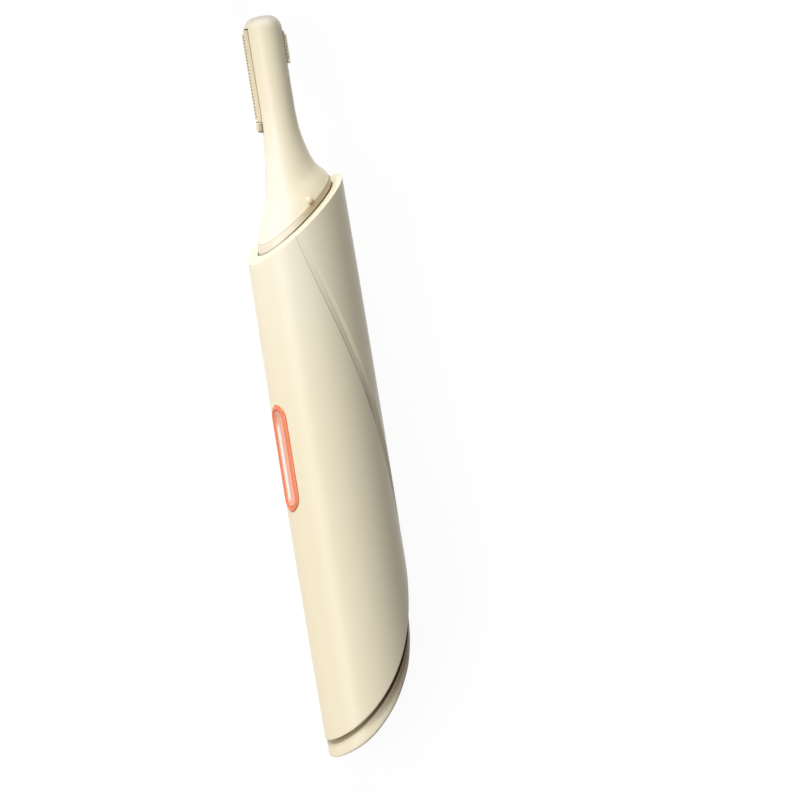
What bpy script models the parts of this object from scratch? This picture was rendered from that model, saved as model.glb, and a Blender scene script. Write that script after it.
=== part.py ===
"""Electric eyebrow trimmer, lying on its side with its cap pulled off ahead of the head.

Every piece is drawn in the trimmer's own frame and hangs from one empty.
In that frame x runs up the handle from the base to the head, y points out of
the front, where the button is, and z points up from the surface that it lies on.
"""

import math

import bmesh
import bpy
from mathutils import Matrix, Vector

mm = 0.001

# Handle: an oval barrel, a little fuller at its middle
handle_half_depth = 10.17 * mm
handle_end_half_depth = 9.96 * mm
oval_share = 0.92
barrel_middle = 52.0 * mm
barrel_half_length = 50.0 * mm
bore_half_depth = 8.1 * mm
seat_gap = 0.3 * mm
running_gap = 0.15 * mm
overrun = 6.0 * mm

# Oblique rim between the handle and the cap
rim_middle = 98.7 * mm
rim_slope = 0.72

# Heel: an arc that turns into a straight run up the back
heel_radius = 42.6 * mm
heel_centre_front = 33.5 * mm
heel_centre_along = 38.75 * mm
heel_arc_end = 26.0 * mm

# Swoosh crease that winds up the handle
crease_side_along = 77.3 * mm
crease_top = 118.0 * mm
crease_bottom = 38.0 * mm
crease_depth = 0.5 * mm
crease_turn = math.radians(152.0)
crease_bend = math.radians(82.0)
crease_step = math.radians(1.4)
crease_width = math.radians(7.5)
crease_widening = math.radians(6.5)
crease_lean = 1.5

# Button in its raised rim
button_along = 55.5 * mm
bezel_length = 19.7 * mm
bezel_width = 5.3 * mm
bezel_rim = 0.85 * mm
bezel_proud = 0.25 * mm
button_proud = 0.1 * mm
button_travel = 0.45 * mm
button_stem_radius = 0.9 * mm
button_stem_length = 0.4 * mm

# Base cap with its plug
base_groove = 1.05 * mm
base_depth = 4.25 * mm
base_front_inset = 0.3 * mm
base_back_inset = 0.9 * mm
base_back_start_share = 0.4
base_fillet = 0.7 * mm
base_toe = 0.6 * mm
base_toe_start = 5.5 * mm
base_plug_top = 23.8 * mm
base_face_shares = (0.25, 0.5, 0.72, 0.88)
spring_pocket_radius = 3.3 * mm
spring_pocket_depth = 2.5 * mm
contact_thickness = 0.3 * mm
spring_wire_radius = 0.22 * mm
spring_turns = 3
spring_wide = 2.6 * mm
spring_narrow = 1.5 * mm

# Cell of the standard small size
battery_radius = 5.25 * mm
battery_length = 44.5 * mm
battery_bottom = 25.5 * mm
battery_nub_radius = 1.9 * mm
battery_nub_height = 0.8 * mm
battery_shoulder = 0.5 * mm

# Inner frame that carries the cell, the motor and the board
frame_wall_plane = 4.2 * mm
bulkhead_thickness = 1.2 * mm
front_bulkhead_thickness = 1.4 * mm
window_length = 8.0 * mm
window_width = 5.0 * mm
window_count = 3
post_side = 0.8 * mm

# Circuit board
board_length = 36.0 * mm
board_half_width = 4.6 * mm
board_thickness = 0.8 * mm
board_radius = 0.6 * mm
switch_side = 3.6 * mm
switch_height = 0.85 * mm
plunger_radius = 0.8 * mm
plunger_height = 0.35 * mm
chip_length = 4.9 * mm
chip_width = 3.9 * mm
chip_height = 1.0 * mm

# Motor
motor_radius = 5.5 * mm
motor_wall = 0.5 * mm
motor_length = 13.5 * mm
end_bell_flange = 1.2 * mm
end_bell_plug = 1.8 * mm
terminal_length = 1.4 * mm
terminal_width = 1.0 * mm
terminal_thickness = 0.3 * mm
terminal_spread = 1.5 * mm
terminal_front = 3.4 * mm
bearing_radius = 2.0 * mm
bearing_length = 1.9 * mm
shaft_radius = 0.75 * mm
screw_circle_radius = 4.1 * mm
screw_head_radius = 1.1 * mm
screw_head_height = 0.6 * mm
screw_shank_radius = 0.6 * mm
lead_radius = 0.35 * mm
screw_dome_share = 0.8

# Eccentric on the motor shaft
cam_radius = 2.6 * mm
cam_thickness = 2.3 * mm
eccentricity = 1.0 * mm
crank_pin_radius = 0.7 * mm
crank_pin_length = 3.4 * mm

# Rocker that turns the eccentric's circle into a stroke
pivot_above_base = 1.65 * mm
pivot_pin_radius = 0.7 * mm
rocker_hub_radius = 1.6 * mm
rocker_hub_half_width = 2.3 * mm
fork_half_gap = 2.95 * mm
fork_tine = 0.8 * mm
fork_tip_above_cam = 1.8 * mm
fork_bridge = 1.2 * mm
fork_half_width = 1.2 * mm
short_arm = 3.6 * mm
arm_thickness = 1.1 * mm
peg_radius = 0.6 * mm
blade_stroke_half = 0.6 * mm
fork_neck_share = 0.7
arm_root_share = 0.8
arm_end_share = 1.6
arm_tip_share = 1.3

# Drive rod that carries both moving blades
rod_half_thickness = 0.8 * mm
rod_half_depth = 1.1 * mm
rod_eye_radius = 1.5 * mm
rod_below_shoulder = 1.1 * mm
rod_bend_above_pivot = 2.6 * mm
rod_bend_length = 8.4 * mm
rod_eye_start = math.radians(63.0)
rod_eye_span = math.radians(234.0)

# Collar that plugs the head into the handle
collar_depth = 7.7 * mm
collar_stand = 1.5 * mm
collar_wall = 1.1 * mm
collar_lip_wall = 0.4 * mm
collar_lip_stand = 1.2 * mm
ear_near = 2.65 * mm
ear_thickness = 1.2 * mm
ear_half_depth = 1.6 * mm
ear_above_pivot = 1.3 * mm

# Head: a flare that sweeps from the oblique rim into a slim round bar
head_half_depth = 7.7 * mm
head_wall = 1.2 * mm
bar_half_width = 3.2 * mm
bar_bore_radius = 2.1 * mm
flare_length = 18.0 * mm
bar_length = 15.35 * mm
dome_height = 2.6 * mm
nib_radius = 0.6 * mm
nib_above_base = 1.55 * mm
dome_fullness = 0.7
cavity_share = 0.8
# How far up the flare, how much of the flare's width is left, how much of the rim's slope is left
flare_shares = (
    (0.000, 1.000, 1.00),
    (0.055, 0.915, 0.99),
    (0.108, 0.817, 0.97),
    (0.183, 0.640, 0.96),
    (0.245, 0.507, 0.95),
    (0.306, 0.413, 0.93),
    (0.400, 0.304, 0.88),
    (0.506, 0.217, 0.76),
    (0.610, 0.141, 0.58),
    (0.711, 0.087, 0.38),
    (0.822, 0.039, 0.15),
    (1.000, 0.000, 0.00),
)

# Toothed combs and the blades that slide behind them, in a plane turned about the bar
comb_turn = math.radians(-24.0)
tooth_pitch = 0.62 * mm
tooth_slot = 0.3 * mm
tooth_slot_depth = 0.35 * mm
comb_half_thickness = 0.6 * mm
comb_wall = 0.28 * mm
comb_reach = 4.1 * mm
comb_root = 2.35 * mm
comb_tip_wall = 0.25 * mm
comb_top_round = 0.3 * mm
comb_brow_root = 1.0 * mm
long_comb_length = 17.1 * mm
long_comb_past_shoulder = 0.5 * mm
short_comb_length = 6.1 * mm
short_comb_lower = 1.0 * mm
end_block_length = 1.7 * mm
end_block_reach = 4.4 * mm
blade_half_thickness = 0.2 * mm
blade_root = 1.55 * mm
blade_tooth_height = 0.5 * mm
# Across one pitch, where a blade tooth leaves its root and where its tip starts and ends
blade_tooth_shares = (0.22, 0.36, 0.64, 0.78)

# Cap
cap_travel = 54.0 * mm
cap_top_along = 107.2 * mm
cap_top_rise = 44.6 * mm
cap_top_wall = 1.3 * mm
cap_front_wall = 0.95 * mm
cap_crown = 0.5 * mm
cap_edge_fillet = 0.4 * mm
cap_ledge_below = 3.4 * mm
cap_ledge_depth = 0.12 * mm
cap_ledge_start = math.radians(24.0)
cap_ledge_blend = math.radians(60.0)
cap_wall_shares = (0.2, 0.4, 0.6, 0.8, 1.0)
cap_edge_shares = (0.99, 0.975, 0.95, 0.91, 0.85, 0.76, 0.64, 0.48, 0.3, 0.13)
cap_hollow_shares = (1.0, 0.97, 0.92, 0.85, 0.75, 0.6, 0.42, 0.2)

sleeve_rows = 25
handle_columns = 34
skin_columns = 48
head_columns = 32
cap_columns = 36
rod_sides = 36
round_sides = 24
fine_sides = 12

# Worked-out places
bore_half_height = bore_half_depth * oval_share
plug_half_depth = bore_half_depth - seat_gap
battery_top = battery_bottom + battery_length
rear_contact_low = battery_top + seat_gap
rear_bulkhead_low = rear_contact_low + contact_thickness + seat_gap
rear_bulkhead_high = rear_bulkhead_low + bulkhead_thickness
end_bell_low = rear_bulkhead_high + terminal_length
motor_low = end_bell_low + end_bell_flange + seat_gap
motor_high = motor_low + motor_length
front_bulkhead_low = motor_high + seat_gap
front_bulkhead_high = front_bulkhead_low + front_bulkhead_thickness
cam_low = front_bulkhead_high + screw_head_height + seat_gap
cam_high = cam_low + cam_thickness
crank_pin_top = cam_high + crank_pin_length
board_low = battery_top - board_length
board_front = battery_radius + seat_gap + board_thickness
switch_front = board_front + seat_gap + switch_height
collar_top_middle = rim_middle + collar_stand
collar_bottom = rim_middle - collar_depth
head_base_middle = collar_top_middle + running_gap
bar_start = head_base_middle + flare_length
bar_shoulder = bar_start + bar_length
head_top = bar_shoulder + dome_height
nib_along = head_base_middle + nib_above_base
pivot_along = head_base_middle + pivot_above_base
ear_top = pivot_along + ear_above_pivot
fork_tip_along = cam_high + fork_tip_above_cam
rod_bend_low = pivot_along + rod_bend_above_pivot
rod_bend_high = rod_bend_low + rod_bend_length
rod_top = bar_shoulder - rod_below_shoulder
long_comb_top = bar_shoulder + long_comb_past_shoulder
long_comb_bottom = long_comb_top - long_comb_length
short_comb_top = long_comb_top - short_comb_lower
short_comb_bottom = short_comb_top - short_comb_length
cap_shift = cap_travel + seat_gap


def clear_scene():
    for old in list(bpy.data.objects):
        bpy.data.objects.remove(old, do_unlink=True)


def new_collection(name):
    made = bpy.data.collections.new(name)
    bpy.context.scene.collection.children.link(made)
    return made


clear_scene()
parts = new_collection("eyebrow_trimmer")
cutters = new_collection("cutters")
cutters.hide_render = True
axis_empty = bpy.data.objects.new("trimmer_axis", None)
parts.objects.link(axis_empty)
axis_empty.rotation_euler = (0, 0, math.pi)


def finish(name, colour, roughness, metallic=0.0):
    made = bpy.data.materials.new(name)
    made.use_nodes = True
    shader = made.node_tree.nodes["Principled BSDF"]
    shader.inputs["Base Color"].default_value = (*colour, 1)
    shader.inputs["Roughness"].default_value = roughness
    shader.inputs["Metallic"].default_value = metallic
    return made


cream = (0.80, 0.70, 0.50)
tan = (0.60, 0.50, 0.35)
orange = (0.93, 0.27, 0.10)
lead_red = (0.60, 0.05, 0.04)
coral = (0.95, 0.42, 0.30)
steel = (0.62, 0.62, 0.60)
dark_steel = (0.22, 0.20, 0.19)
brass = (0.80, 0.62, 0.28)
white_resin = (0.85, 0.85, 0.80)
dark_resin = (0.05, 0.05, 0.06)
board_green = (0.02, 0.22, 0.09)
cell_sleeve = (0.10, 0.16, 0.34)


def add_object(name, mesh, collection, origin=(0, 0, 0)):
    made = bpy.data.objects.new(name, mesh)
    collection.objects.link(made)
    made.parent = axis_empty
    made.location = origin
    if collection is cutters:
        made.hide_render = True
        made.display_type = "WIRE"
    return made


def mesh_from(work, name, redo=False):
    """Turns a working mesh into mesh data; with redo, its faces are first turned to point outwards."""
    if redo:
        bmesh.ops.recalc_face_normals(work, faces=work.faces)
        if work.calc_volume(signed=True) < 0:
            bmesh.ops.reverse_faces(work, faces=work.faces)
    mesh = bpy.data.meshes.new(name)
    work.to_mesh(mesh)
    work.free()
    return mesh


def smooth(thing, colour, roughness, metallic=0.0, corner=35.0):
    """Gives a piece its material and rounds its shading."""
    thing.data.materials.clear()
    thing.data.materials.append(finish(thing.name, colour, roughness, metallic))
    thing.data.shade_smooth()
    thing.data.set_sharp_from_angle(angle=math.radians(corner))
    return thing


def use(target, operation, others):
    for other in others:
        step = target.modifiers.new(f"{operation.lower()} {other.name}", "BOOLEAN")
        step.operation = operation
        step.object = other
    return target


def cut(target, *others):
    return use(target, "DIFFERENCE", others)


def join(target, *others):
    return use(target, "UNION", others)


def keep(target, *others):
    return use(target, "INTERSECT", others)


def loft(name, rings, collection, low_point=None, high_point=None, origin=(0, 0, 0)):
    """Skins a stack of rings with as many points each, closed by a flat face or by a point."""
    work = bmesh.new()
    shift = Vector(origin)
    rows = [[work.verts.new(Vector(p) - shift) for p in ring] for ring in rings]
    count = len(rows[0])
    for low, high in zip(rows, rows[1:]):
        for n in range(count):
            m = (n + 1) % count
            work.faces.new((low[n], low[m], high[m], high[n]))
    for row, point in ((rows[0], low_point), (rows[-1], high_point)):
        if point is None:
            work.faces.new(row)
            continue
        tip = work.verts.new(Vector(point) - shift)
        for n in range(count):
            work.faces.new((row[n], row[(n + 1) % count], tip))
    return add_object(name, mesh_from(work, name, True), collection, origin)


def oval_rod(
    name, low, high, half_depth, half_height, collection, sides=rod_sides, front=0, up=0
):
    """A straight oval prism along the trimmer."""
    work = bmesh.new()
    bmesh.ops.create_cone(
        work, cap_ends=True, segments=sides, radius1=1, radius2=1, depth=1
    )
    turn = Matrix.Rotation(math.pi / 2, 4, "Y")
    size = Matrix.Diagonal((high - low, half_depth, half_height, 1))
    place = Matrix.Translation(((low + high) / 2, front, up))
    bmesh.ops.transform(work, matrix=place @ size @ turn, verts=work.verts)
    return add_object(name, mesh_from(work, name), collection)


def round_rod(name, low, high, radius, collection, sides=round_sides, front=0, up=0):
    return oval_rod(name, low, high, radius, radius, collection, sides, front, up)


def cross_rod(
    name, along, front, low, high, radius, collection, axis="Z", sides=round_sides, origin=(0, 0, 0)
):
    """A round rod across the trimmer, along z or along y."""
    work = bmesh.new()
    bmesh.ops.create_cone(
        work, cap_ends=True, segments=sides, radius1=radius, radius2=radius, depth=high - low
    )
    middle = (low + high) / 2
    if axis == "Z":
        place = Matrix.Translation(Vector((along, front, middle)) - Vector(origin))
    else:
        place = Matrix.Translation(Vector((along, middle, front)) - Vector(origin))
        place = place @ Matrix.Rotation(math.pi / 2, 4, "X")
    bmesh.ops.transform(work, matrix=place, verts=work.verts)
    return add_object(name, mesh_from(work, name), collection, origin)


def blocks(name, boxes, collection, edge=0, origin=(0, 0, 0)):
    """One mesh of boxes, each given by its low and its high corner."""
    work = bmesh.new()
    for low, high in boxes:
        low, high = Vector(low), Vector(high)
        place = Matrix.Translation((low + high) / 2 - Vector(origin))
        size = Matrix.Diagonal((*(high - low), 1))
        bmesh.ops.create_cube(work, size=1, matrix=place @ size)
    made = add_object(name, mesh_from(work, name), collection, origin)
    if edge:
        soft = made.modifiers.new("edge", "BEVEL")
        soft.width = edge
        soft.segments = 2
    return made


def flat_shape(name, outline, low, high, collection, plane="side", origin=(0, 0, 0)):
    """An outline drawn as a filled 2D curve and given a thickness.

    side draws it along and across to the front, front along and up, end across and up.
    """
    curve = bpy.data.curves.new(name, "CURVE")
    curve.dimensions = "2D"
    curve.fill_mode = "BOTH"
    curve.extrude = (high - low) / 2
    line = curve.splines.new("POLY")
    line.points.add(len(outline) - 1)
    for point, (u, v) in zip(line.points, outline):
        point.co = (u, v, 0, 1)
    line.use_cyclic_u = True
    drawn = bpy.data.objects.new(name + "_outline", curve)
    cutters.objects.link(drawn)
    bpy.context.view_layer.update()
    graph = bpy.context.evaluated_depsgraph_get()
    mesh = bpy.data.meshes.new_from_object(drawn.evaluated_get(graph))
    bpy.data.objects.remove(drawn, do_unlink=True)
    work = bmesh.new()
    work.from_mesh(mesh)
    bpy.data.meshes.remove(mesh)
    bmesh.ops.remove_doubles(work, verts=work.verts, dist=0.000001)
    middle = (low + high) / 2
    for vert in work.verts:
        u, v, w = vert.co
        w += middle
        places = {"side": (u, v, w), "front": (u, w, v), "end": (w, u, v)}
        vert.co = Vector(places[plane]) - Vector(origin)
    return add_object(name, mesh_from(work, name, True), collection, origin)


def turned(name, profile, along, collection, sides=round_sides, closed=False, front=0, up=0):
    """A profile of (radius, height) points spun about the trimmer's direction.

    The points run from the top down the outer side.
    """
    mesh = bpy.data.meshes.new(name)
    edges = [(n, n + 1) for n in range(len(profile) - 1)]
    if closed:
        edges.append((len(profile) - 1, 0))
    mesh.from_pydata([(radius, 0, height) for radius, height in profile], edges, [])
    made = add_object(name, mesh, collection, (along, front, up))
    made.rotation_euler = (0, math.pi / 2, 0)
    spin = made.modifiers.new("turn", "SCREW")
    spin.steps = sides
    spin.render_steps = sides
    spin.use_merge_vertices = True
    spin.merge_threshold = 0.000001
    return made


def wire(name, points, radius, resolution=1):
    """A round wire through the points, with its end caps welded."""
    curve = bpy.data.curves.new(name, "CURVE")
    curve.dimensions = "3D"
    curve.bevel_depth = radius
    curve.bevel_resolution = resolution
    curve.use_fill_caps = True
    line = curve.splines.new("POLY")
    line.points.add(len(points) - 1)
    for point, place in zip(line.points, points):
        point.co = (*place, 1)
    drawn = bpy.data.objects.new(name + "_path", curve)
    cutters.objects.link(drawn)
    bpy.context.view_layer.update()
    graph = bpy.context.evaluated_depsgraph_get()
    mesh = bpy.data.meshes.new_from_object(drawn.evaluated_get(graph))
    bpy.data.objects.remove(drawn, do_unlink=True)
    work = bmesh.new()
    work.from_mesh(mesh)
    bpy.data.meshes.remove(mesh)
    bmesh.ops.remove_doubles(work, verts=work.verts, dist=0.000001)
    return add_object(name, mesh_from(work, name), parts)


def handle_half(along):
    """Half the handle's depth, front to back, at a place along it."""
    away = min(abs(along - barrel_middle) / barrel_half_length, 1)
    return handle_end_half_depth + (handle_half_depth - handle_end_half_depth) * (1 - away**2)


def oval_point(along, angle, half):
    return (along, half * math.cos(angle), half * oval_share * math.sin(angle))


def rim_at(front, middle=rim_middle):
    return middle - rim_slope * front


def heel_at(front):
    """The handle's lower edge: an arc, then its tangent up the back."""
    reach = math.sqrt(heel_radius**2 - (heel_centre_along - heel_arc_end) ** 2)
    turn_front = heel_centre_front - reach
    if front > turn_front:
        return heel_centre_along - math.sqrt(heel_radius**2 - (front - heel_centre_front) ** 2)
    slope = reach / (heel_centre_along - heel_arc_end)
    return heel_arc_end + slope * (turn_front - front)


def crease_progress(along):
    return min(max((crease_top - along) / (crease_top - crease_bottom), 0), 1)


def crease_angle(along):
    """The crease winds at a steady rate, a little faster near both ends."""
    away = (crease_side_along - along) / (crease_top - crease_bottom)
    return math.pi / 2 + crease_turn * away + crease_bend * away**3


def crease_depth_at(along):
    return crease_depth * math.sin(math.pi * crease_progress(along) ** crease_lean)


def crease_width_at(along):
    return crease_width + crease_widening * crease_progress(along) ** 2


def oblique_cutter(name, middle, low_side):
    """Everything above, or below, an oblique plane across the trimmer."""
    reach = handle_half_depth + overrun
    side = -1 if low_side else 1
    far = middle + side * (rim_slope * reach + overrun)
    outline = [
        (rim_at(reach, middle), reach),
        (rim_at(-reach, middle), -reach),
        (far, -reach),
        (far, reach),
    ]
    return flat_shape(name, outline, -reach, reach, cutters)


def heel_cutter(name, shift, steps=20):
    """Everything below the heel's curve, moved along by shift."""
    reach = handle_half_depth + overrun
    fronts = [reach - 2 * reach * n / steps for n in range(steps + 1)]
    outline = [(heel_at(front) + shift, front) for front in fronts]
    far = heel_at(reach) + shift - overrun
    outline += [(far, -reach), (far, reach)]
    return flat_shape(name, outline, -reach, reach, cutters)


def pill_outline(length, width, along, steps=10):
    """A long slot shape with round ends, drawn along and up."""
    radius = width / 2
    straight = length / 2 - radius
    points = []
    for end in (1, -1):
        for n in range(steps + 1):
            turn = math.pi * (n / steps - 0.5)
            u = end * (straight + radius * math.cos(turn))
            points.append((along + u, end * radius * math.sin(turn)))
    return points


def barrel(name, proud, low, high, collection, rows=5):
    """A smooth piece of the handle's outer form, larger by proud."""
    rings = []
    for row in range(rows + 1):
        along = low + (high - low) * row / rows
        half = handle_half(along) + proud
        turns = [2 * math.pi * n / skin_columns for n in range(skin_columns)]
        rings.append([oval_point(along, turn, half) for turn in turns])
    return loft(name, rings, collection)


def make_sleeve():
    """The outer tube, its columns wound with the crease so that the crease stays crisp."""
    low = -overrun
    high = rim_at(-handle_half_depth) + overrun
    rings = []
    for row in range(sleeve_rows + 1):
        along = low + (high - low) * row / sleeve_rows
        start = crease_angle(along)
        width = crease_width_at(along)
        half = handle_half(along)
        dip = crease_depth_at(along)
        ring = [
            oval_point(along, start, half),
            oval_point(along, start + crease_step, half - dip),
            oval_point(along, start + (crease_step + width) / 2, half - dip / 2),
            oval_point(along, start + width, half),
        ]
        rest = 2 * math.pi - width
        for n in range(1, handle_columns):
            ring.append(oval_point(along, start + width + rest * n / handle_columns, half))
        rings.append(ring)
    sleeve = loft("outer_sleeve", rings, parts)
    low -= overrun
    high += overrun
    bore = oval_rod("sleeve_bore", low, high, bore_half_depth, bore_half_height, cutters)
    window = flat_shape(
        "button_window",
        pill_outline(bezel_length + 2 * running_gap, bezel_width + 2 * running_gap, button_along),
        bore_half_depth - overrun / 2,
        handle_half_depth + overrun,
        cutters,
        "front",
    )
    cut(
        sleeve,
        bore,
        oblique_cutter("rim_cutter", rim_middle, False),
        heel_cutter("heel_cutter", 0),
        window,
    )
    return smooth(sleeve, cream, 0.2)


def make_button():
    inner_length = bezel_length - 2 * bezel_rim
    inner_width = bezel_width - 2 * bezel_rim
    low = bore_half_depth + running_gap
    high = handle_half_depth + overrun
    outer = pill_outline(bezel_length, bezel_width, button_along)
    bezel = flat_shape("button_bezel", outer, low, high, parts, "front")
    inner = pill_outline(inner_length, inner_width, button_along)
    hole = flat_shape("bezel_hole", inner, low - overrun, high + overrun, cutters, "front")
    skin_low = button_along - bezel_length
    skin_high = button_along + bezel_length
    skin = barrel("bezel_skin", bezel_proud, skin_low, skin_high, cutters)
    keep(bezel, skin)
    cut(bezel, hole)
    smooth(bezel, orange, 0.25)

    gap = 2 * running_gap
    origin = (button_along, handle_half_depth, 0)
    stem_low = switch_front + plunger_height + button_travel + running_gap
    button = flat_shape(
        "power_button",
        pill_outline(inner_length - gap, inner_width - gap, button_along),
        stem_low + button_stem_length,
        high,
        parts,
        "front",
        origin,
    )
    crown = barrel("button_skin", button_proud, skin_low, skin_high, cutters)
    stem_high = handle_half_depth - bezel_rim
    stem = cross_rod(
        "button_stem", button_along, 0, stem_low, stem_high, button_stem_radius, cutters, "Y"
    )
    keep(button, crown)
    join(button, stem)
    smooth(button, coral, 0.12)


def toe_lift(front):
    """How far the base cap's underside rises at its front."""
    room = handle_end_half_depth - base_toe_start
    share = min(max((front - base_toe_start) / room, 0), 1)
    return base_toe * share * (2 - share)


def heel_rings(inset, shift, shares, lifted=0):
    """Rings of the oval, drawn in towards the middle, that lie on the heel's curve.

    They stand in from the handle at the front, and more so where the heel runs up the back.
    """
    rings = []
    for share in shares:
        ring = []
        for n in range(handle_columns):
            turn = 2 * math.pi * n / handle_columns
            flush = handle_half(heel_at(handle_end_half_depth * math.cos(turn)) + shift)
            to_front = max(math.cos(turn), 0)
            to_back = max(-math.cos(turn) - base_back_start_share, 0)
            slip = base_front_inset * to_front
            slip += base_back_inset * min(to_back / base_back_start_share, 1)
            half = (flush - slip - inset) * share
            front = half * math.cos(turn)
            along = heel_at(front) + shift + lifted * toe_lift(front)
            ring.append((along, front, half * oval_share * math.sin(turn)))
        rings.append(ring)
    return rings


def make_base():
    """The base cap: a curved band under the heel, with a plug that closes the cell's bay."""
    under = heel_rings(base_fillet, -base_depth, base_face_shares, 1)
    rim = []
    steps = 4
    for n in range(steps + 1):
        turn = math.pi / 2 * n / steps
        inset = base_fillet * (1 - math.sin(turn))
        lift = base_fillet * (1 - math.cos(turn))
        rim += heel_rings(inset, lift - base_depth, (1,), 1)
    top = heel_rings(0, -base_groove, (1,))
    top += heel_rings(0, -base_groove, reversed(base_face_shares))
    middle = heel_at(0)
    base = loft(
        "base_cap",
        under + rim + top,
        parts,
        (middle - base_depth, 0, 0),
        (middle - base_groove, 0, 0),
    )
    plug = oval_rod(
        "base_plug", -overrun, base_plug_top, plug_half_depth, plug_half_depth * oval_share, cutters
    )
    cut(plug, heel_cutter("plug_trim", -(base_groove + base_depth) / 2))
    join(base, plug)
    pocket_floor = base_plug_top - spring_pocket_depth
    pocket_top = base_plug_top + overrun
    cut(base, round_rod("spring_pocket", pocket_floor, pocket_top, spring_pocket_radius, cutters))
    smooth(base, cream, 0.22)

    plate_low = pocket_floor + running_gap
    plate_high = plate_low + contact_thickness
    plate_radius = spring_pocket_radius - running_gap
    profile = [
        (0, contact_thickness),
        (plate_radius, contact_thickness),
        (plate_radius, 0),
        (0, 0),
    ]
    plate = turned("base_contact_plate", profile, plate_low, parts)
    smooth(plate, steel, 0.3, 1.0)

    start = plate_high + running_gap + spring_wire_radius
    end = battery_bottom - running_gap - spring_wire_radius
    steps = 14
    points = []
    for n in range(spring_turns * steps + 1):
        share = n / (spring_turns * steps)
        turn = 2 * math.pi * n / steps
        radius = spring_wide + (spring_narrow - spring_wide) * share
        along = start + (end - start) * share
        points.append((along, radius * math.cos(turn), radius * math.sin(turn)))
    smooth(wire("battery_spring", points, spring_wire_radius), steel, 0.3, 1.0)


def make_battery():
    body_height = battery_length - battery_nub_height
    profile = [
        (0, battery_length),
        (battery_nub_radius, battery_length),
        (battery_nub_radius, body_height),
        (battery_radius - battery_shoulder, body_height),
        (battery_radius, body_height - battery_shoulder),
        (battery_radius, battery_shoulder),
        (battery_radius - battery_shoulder, 0),
        (0, 0),
    ]
    smooth(turned("aaa_battery", profile, battery_bottom, parts), cell_sleeve, 0.3, 0.2)
    low = (rear_contact_low, -frame_wall_plane, -frame_wall_plane / 2)
    high = (rear_contact_low + contact_thickness, frame_wall_plane, frame_wall_plane / 2)
    tab = blocks("battery_contact_plate", [(low, high)], parts)
    smooth(tab, steel, 0.3, 1.0)


def make_frame():
    """The inner moulding: an open cradle with a wall either side of the motor."""
    low = battery_bottom - seat_gap
    frame = oval_rod(
        "inner_frame", low, front_bulkhead_high, plug_half_depth, plug_half_depth * oval_share, parts
    )
    bay = battery_radius + seat_gap
    motor_bay = motor_radius + seat_gap
    wide = handle_half_depth
    front_low = (low - overrun, frame_wall_plane, -wide)
    open_front = blocks("frame_front", [(front_low, (front_bulkhead_low, wide, wide))], cutters)
    battery_bay = round_rod("battery_bay", low - overrun, rear_contact_low, bay, cutters)
    slot_side = frame_wall_plane / 2 + running_gap
    slot_low = (rear_contact_low - running_gap, -frame_wall_plane - running_gap, -slot_side)
    slot_high = (rear_contact_low + contact_thickness + running_gap, wide, slot_side)
    plate_slot = blocks("contact_slot", [(slot_low, slot_high)], cutters)
    motor_hollow = round_rod(
        "motor_bay", rear_bulkhead_high, front_bulkhead_low, motor_bay, cutters
    )
    wall_low = front_bulkhead_low - overrun / 4
    wall_high = front_bulkhead_high + overrun
    bearing_hole = round_rod(
        "bearing_hole", wall_low, wall_high, bearing_radius + seat_gap, cutters
    )
    heel = heel_cutter("frame_heel", seat_gap - base_groove)
    cut(frame, open_front, battery_bay, plate_slot, motor_hollow, bearing_hole, heel)
    hole_radius = screw_shank_radius + running_gap
    for side in (1, -1):
        up = side * screw_circle_radius
        name = f"screw_hole_{side}"
        cut(frame, round_rod(name, wall_low, wall_high, hole_radius, cutters, fine_sides, up=up))
    gap = (rear_contact_low - heel_arc_end - overrun - window_count * window_length) / window_count
    openings = []
    for n in range(window_count):
        start = heel_arc_end + overrun + n * (window_length + gap)
        near = (start, -wide, -window_width / 2)
        openings.append((near, (start + window_length, -battery_radius / 2, window_width / 2)))
    cut(frame, blocks("frame_windows", openings, cutters))
    post_near = math.sqrt(bay**2 - frame_wall_plane**2) + running_gap
    post_front = board_front - board_thickness - running_gap
    posts = []
    for along in (board_low + post_side * 2, board_low + board_length - post_side * 2):
        for side in (1, -1):
            low_up, high_up = sorted((side * post_near, side * (post_near + post_side)))
            corner = (along - post_side / 2, frame_wall_plane - running_gap, low_up)
            posts.append((corner, (along + post_side / 2, post_front, high_up)))
    join(frame, blocks("board_posts", posts, cutters))
    smooth(frame, white_resin, 0.45)


def make_board():
    outline = []
    for sign_u, sign_v, start in ((1, 1, 0), (-1, 1, 1), (-1, -1, 2), (1, -1, 3)):
        for n in range(5):
            turn = math.pi / 2 * (start + n / 4)
            corner = board_low + board_length / 2 + sign_u * (board_length / 2 - board_radius)
            outline.append(
                (
                    corner + board_radius * math.cos(turn),
                    sign_v * (board_half_width - board_radius) + board_radius * math.sin(turn),
                )
            )
    board = flat_shape(
        "circuit_board", outline, board_front - board_thickness, board_front, parts, "front"
    )
    smooth(board, board_green, 0.4)

    half = switch_side / 2
    base = board_front + running_gap
    switch = blocks(
        "tact_switch",
        [((button_along - half, base, -half), (button_along + half, switch_front, half))],
        parts,
    )
    low = base + switch_height / 2
    high = switch_front + plunger_height
    plunger = cross_rod(
        "switch_plunger", button_along, 0, low, high, plunger_radius, cutters, "Y", fine_sides
    )
    join(switch, plunger)
    smooth(switch, dark_resin, 0.4)

    chip_low = button_along - switch_side - 2 * chip_length
    low = (chip_low, base, -chip_width / 2)
    high = (chip_low + chip_length, base + chip_height, chip_width / 2)
    chip = blocks("control_chip", [(low, high)], parts, running_gap / 2)
    smooth(chip, dark_resin, 0.5)


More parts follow.
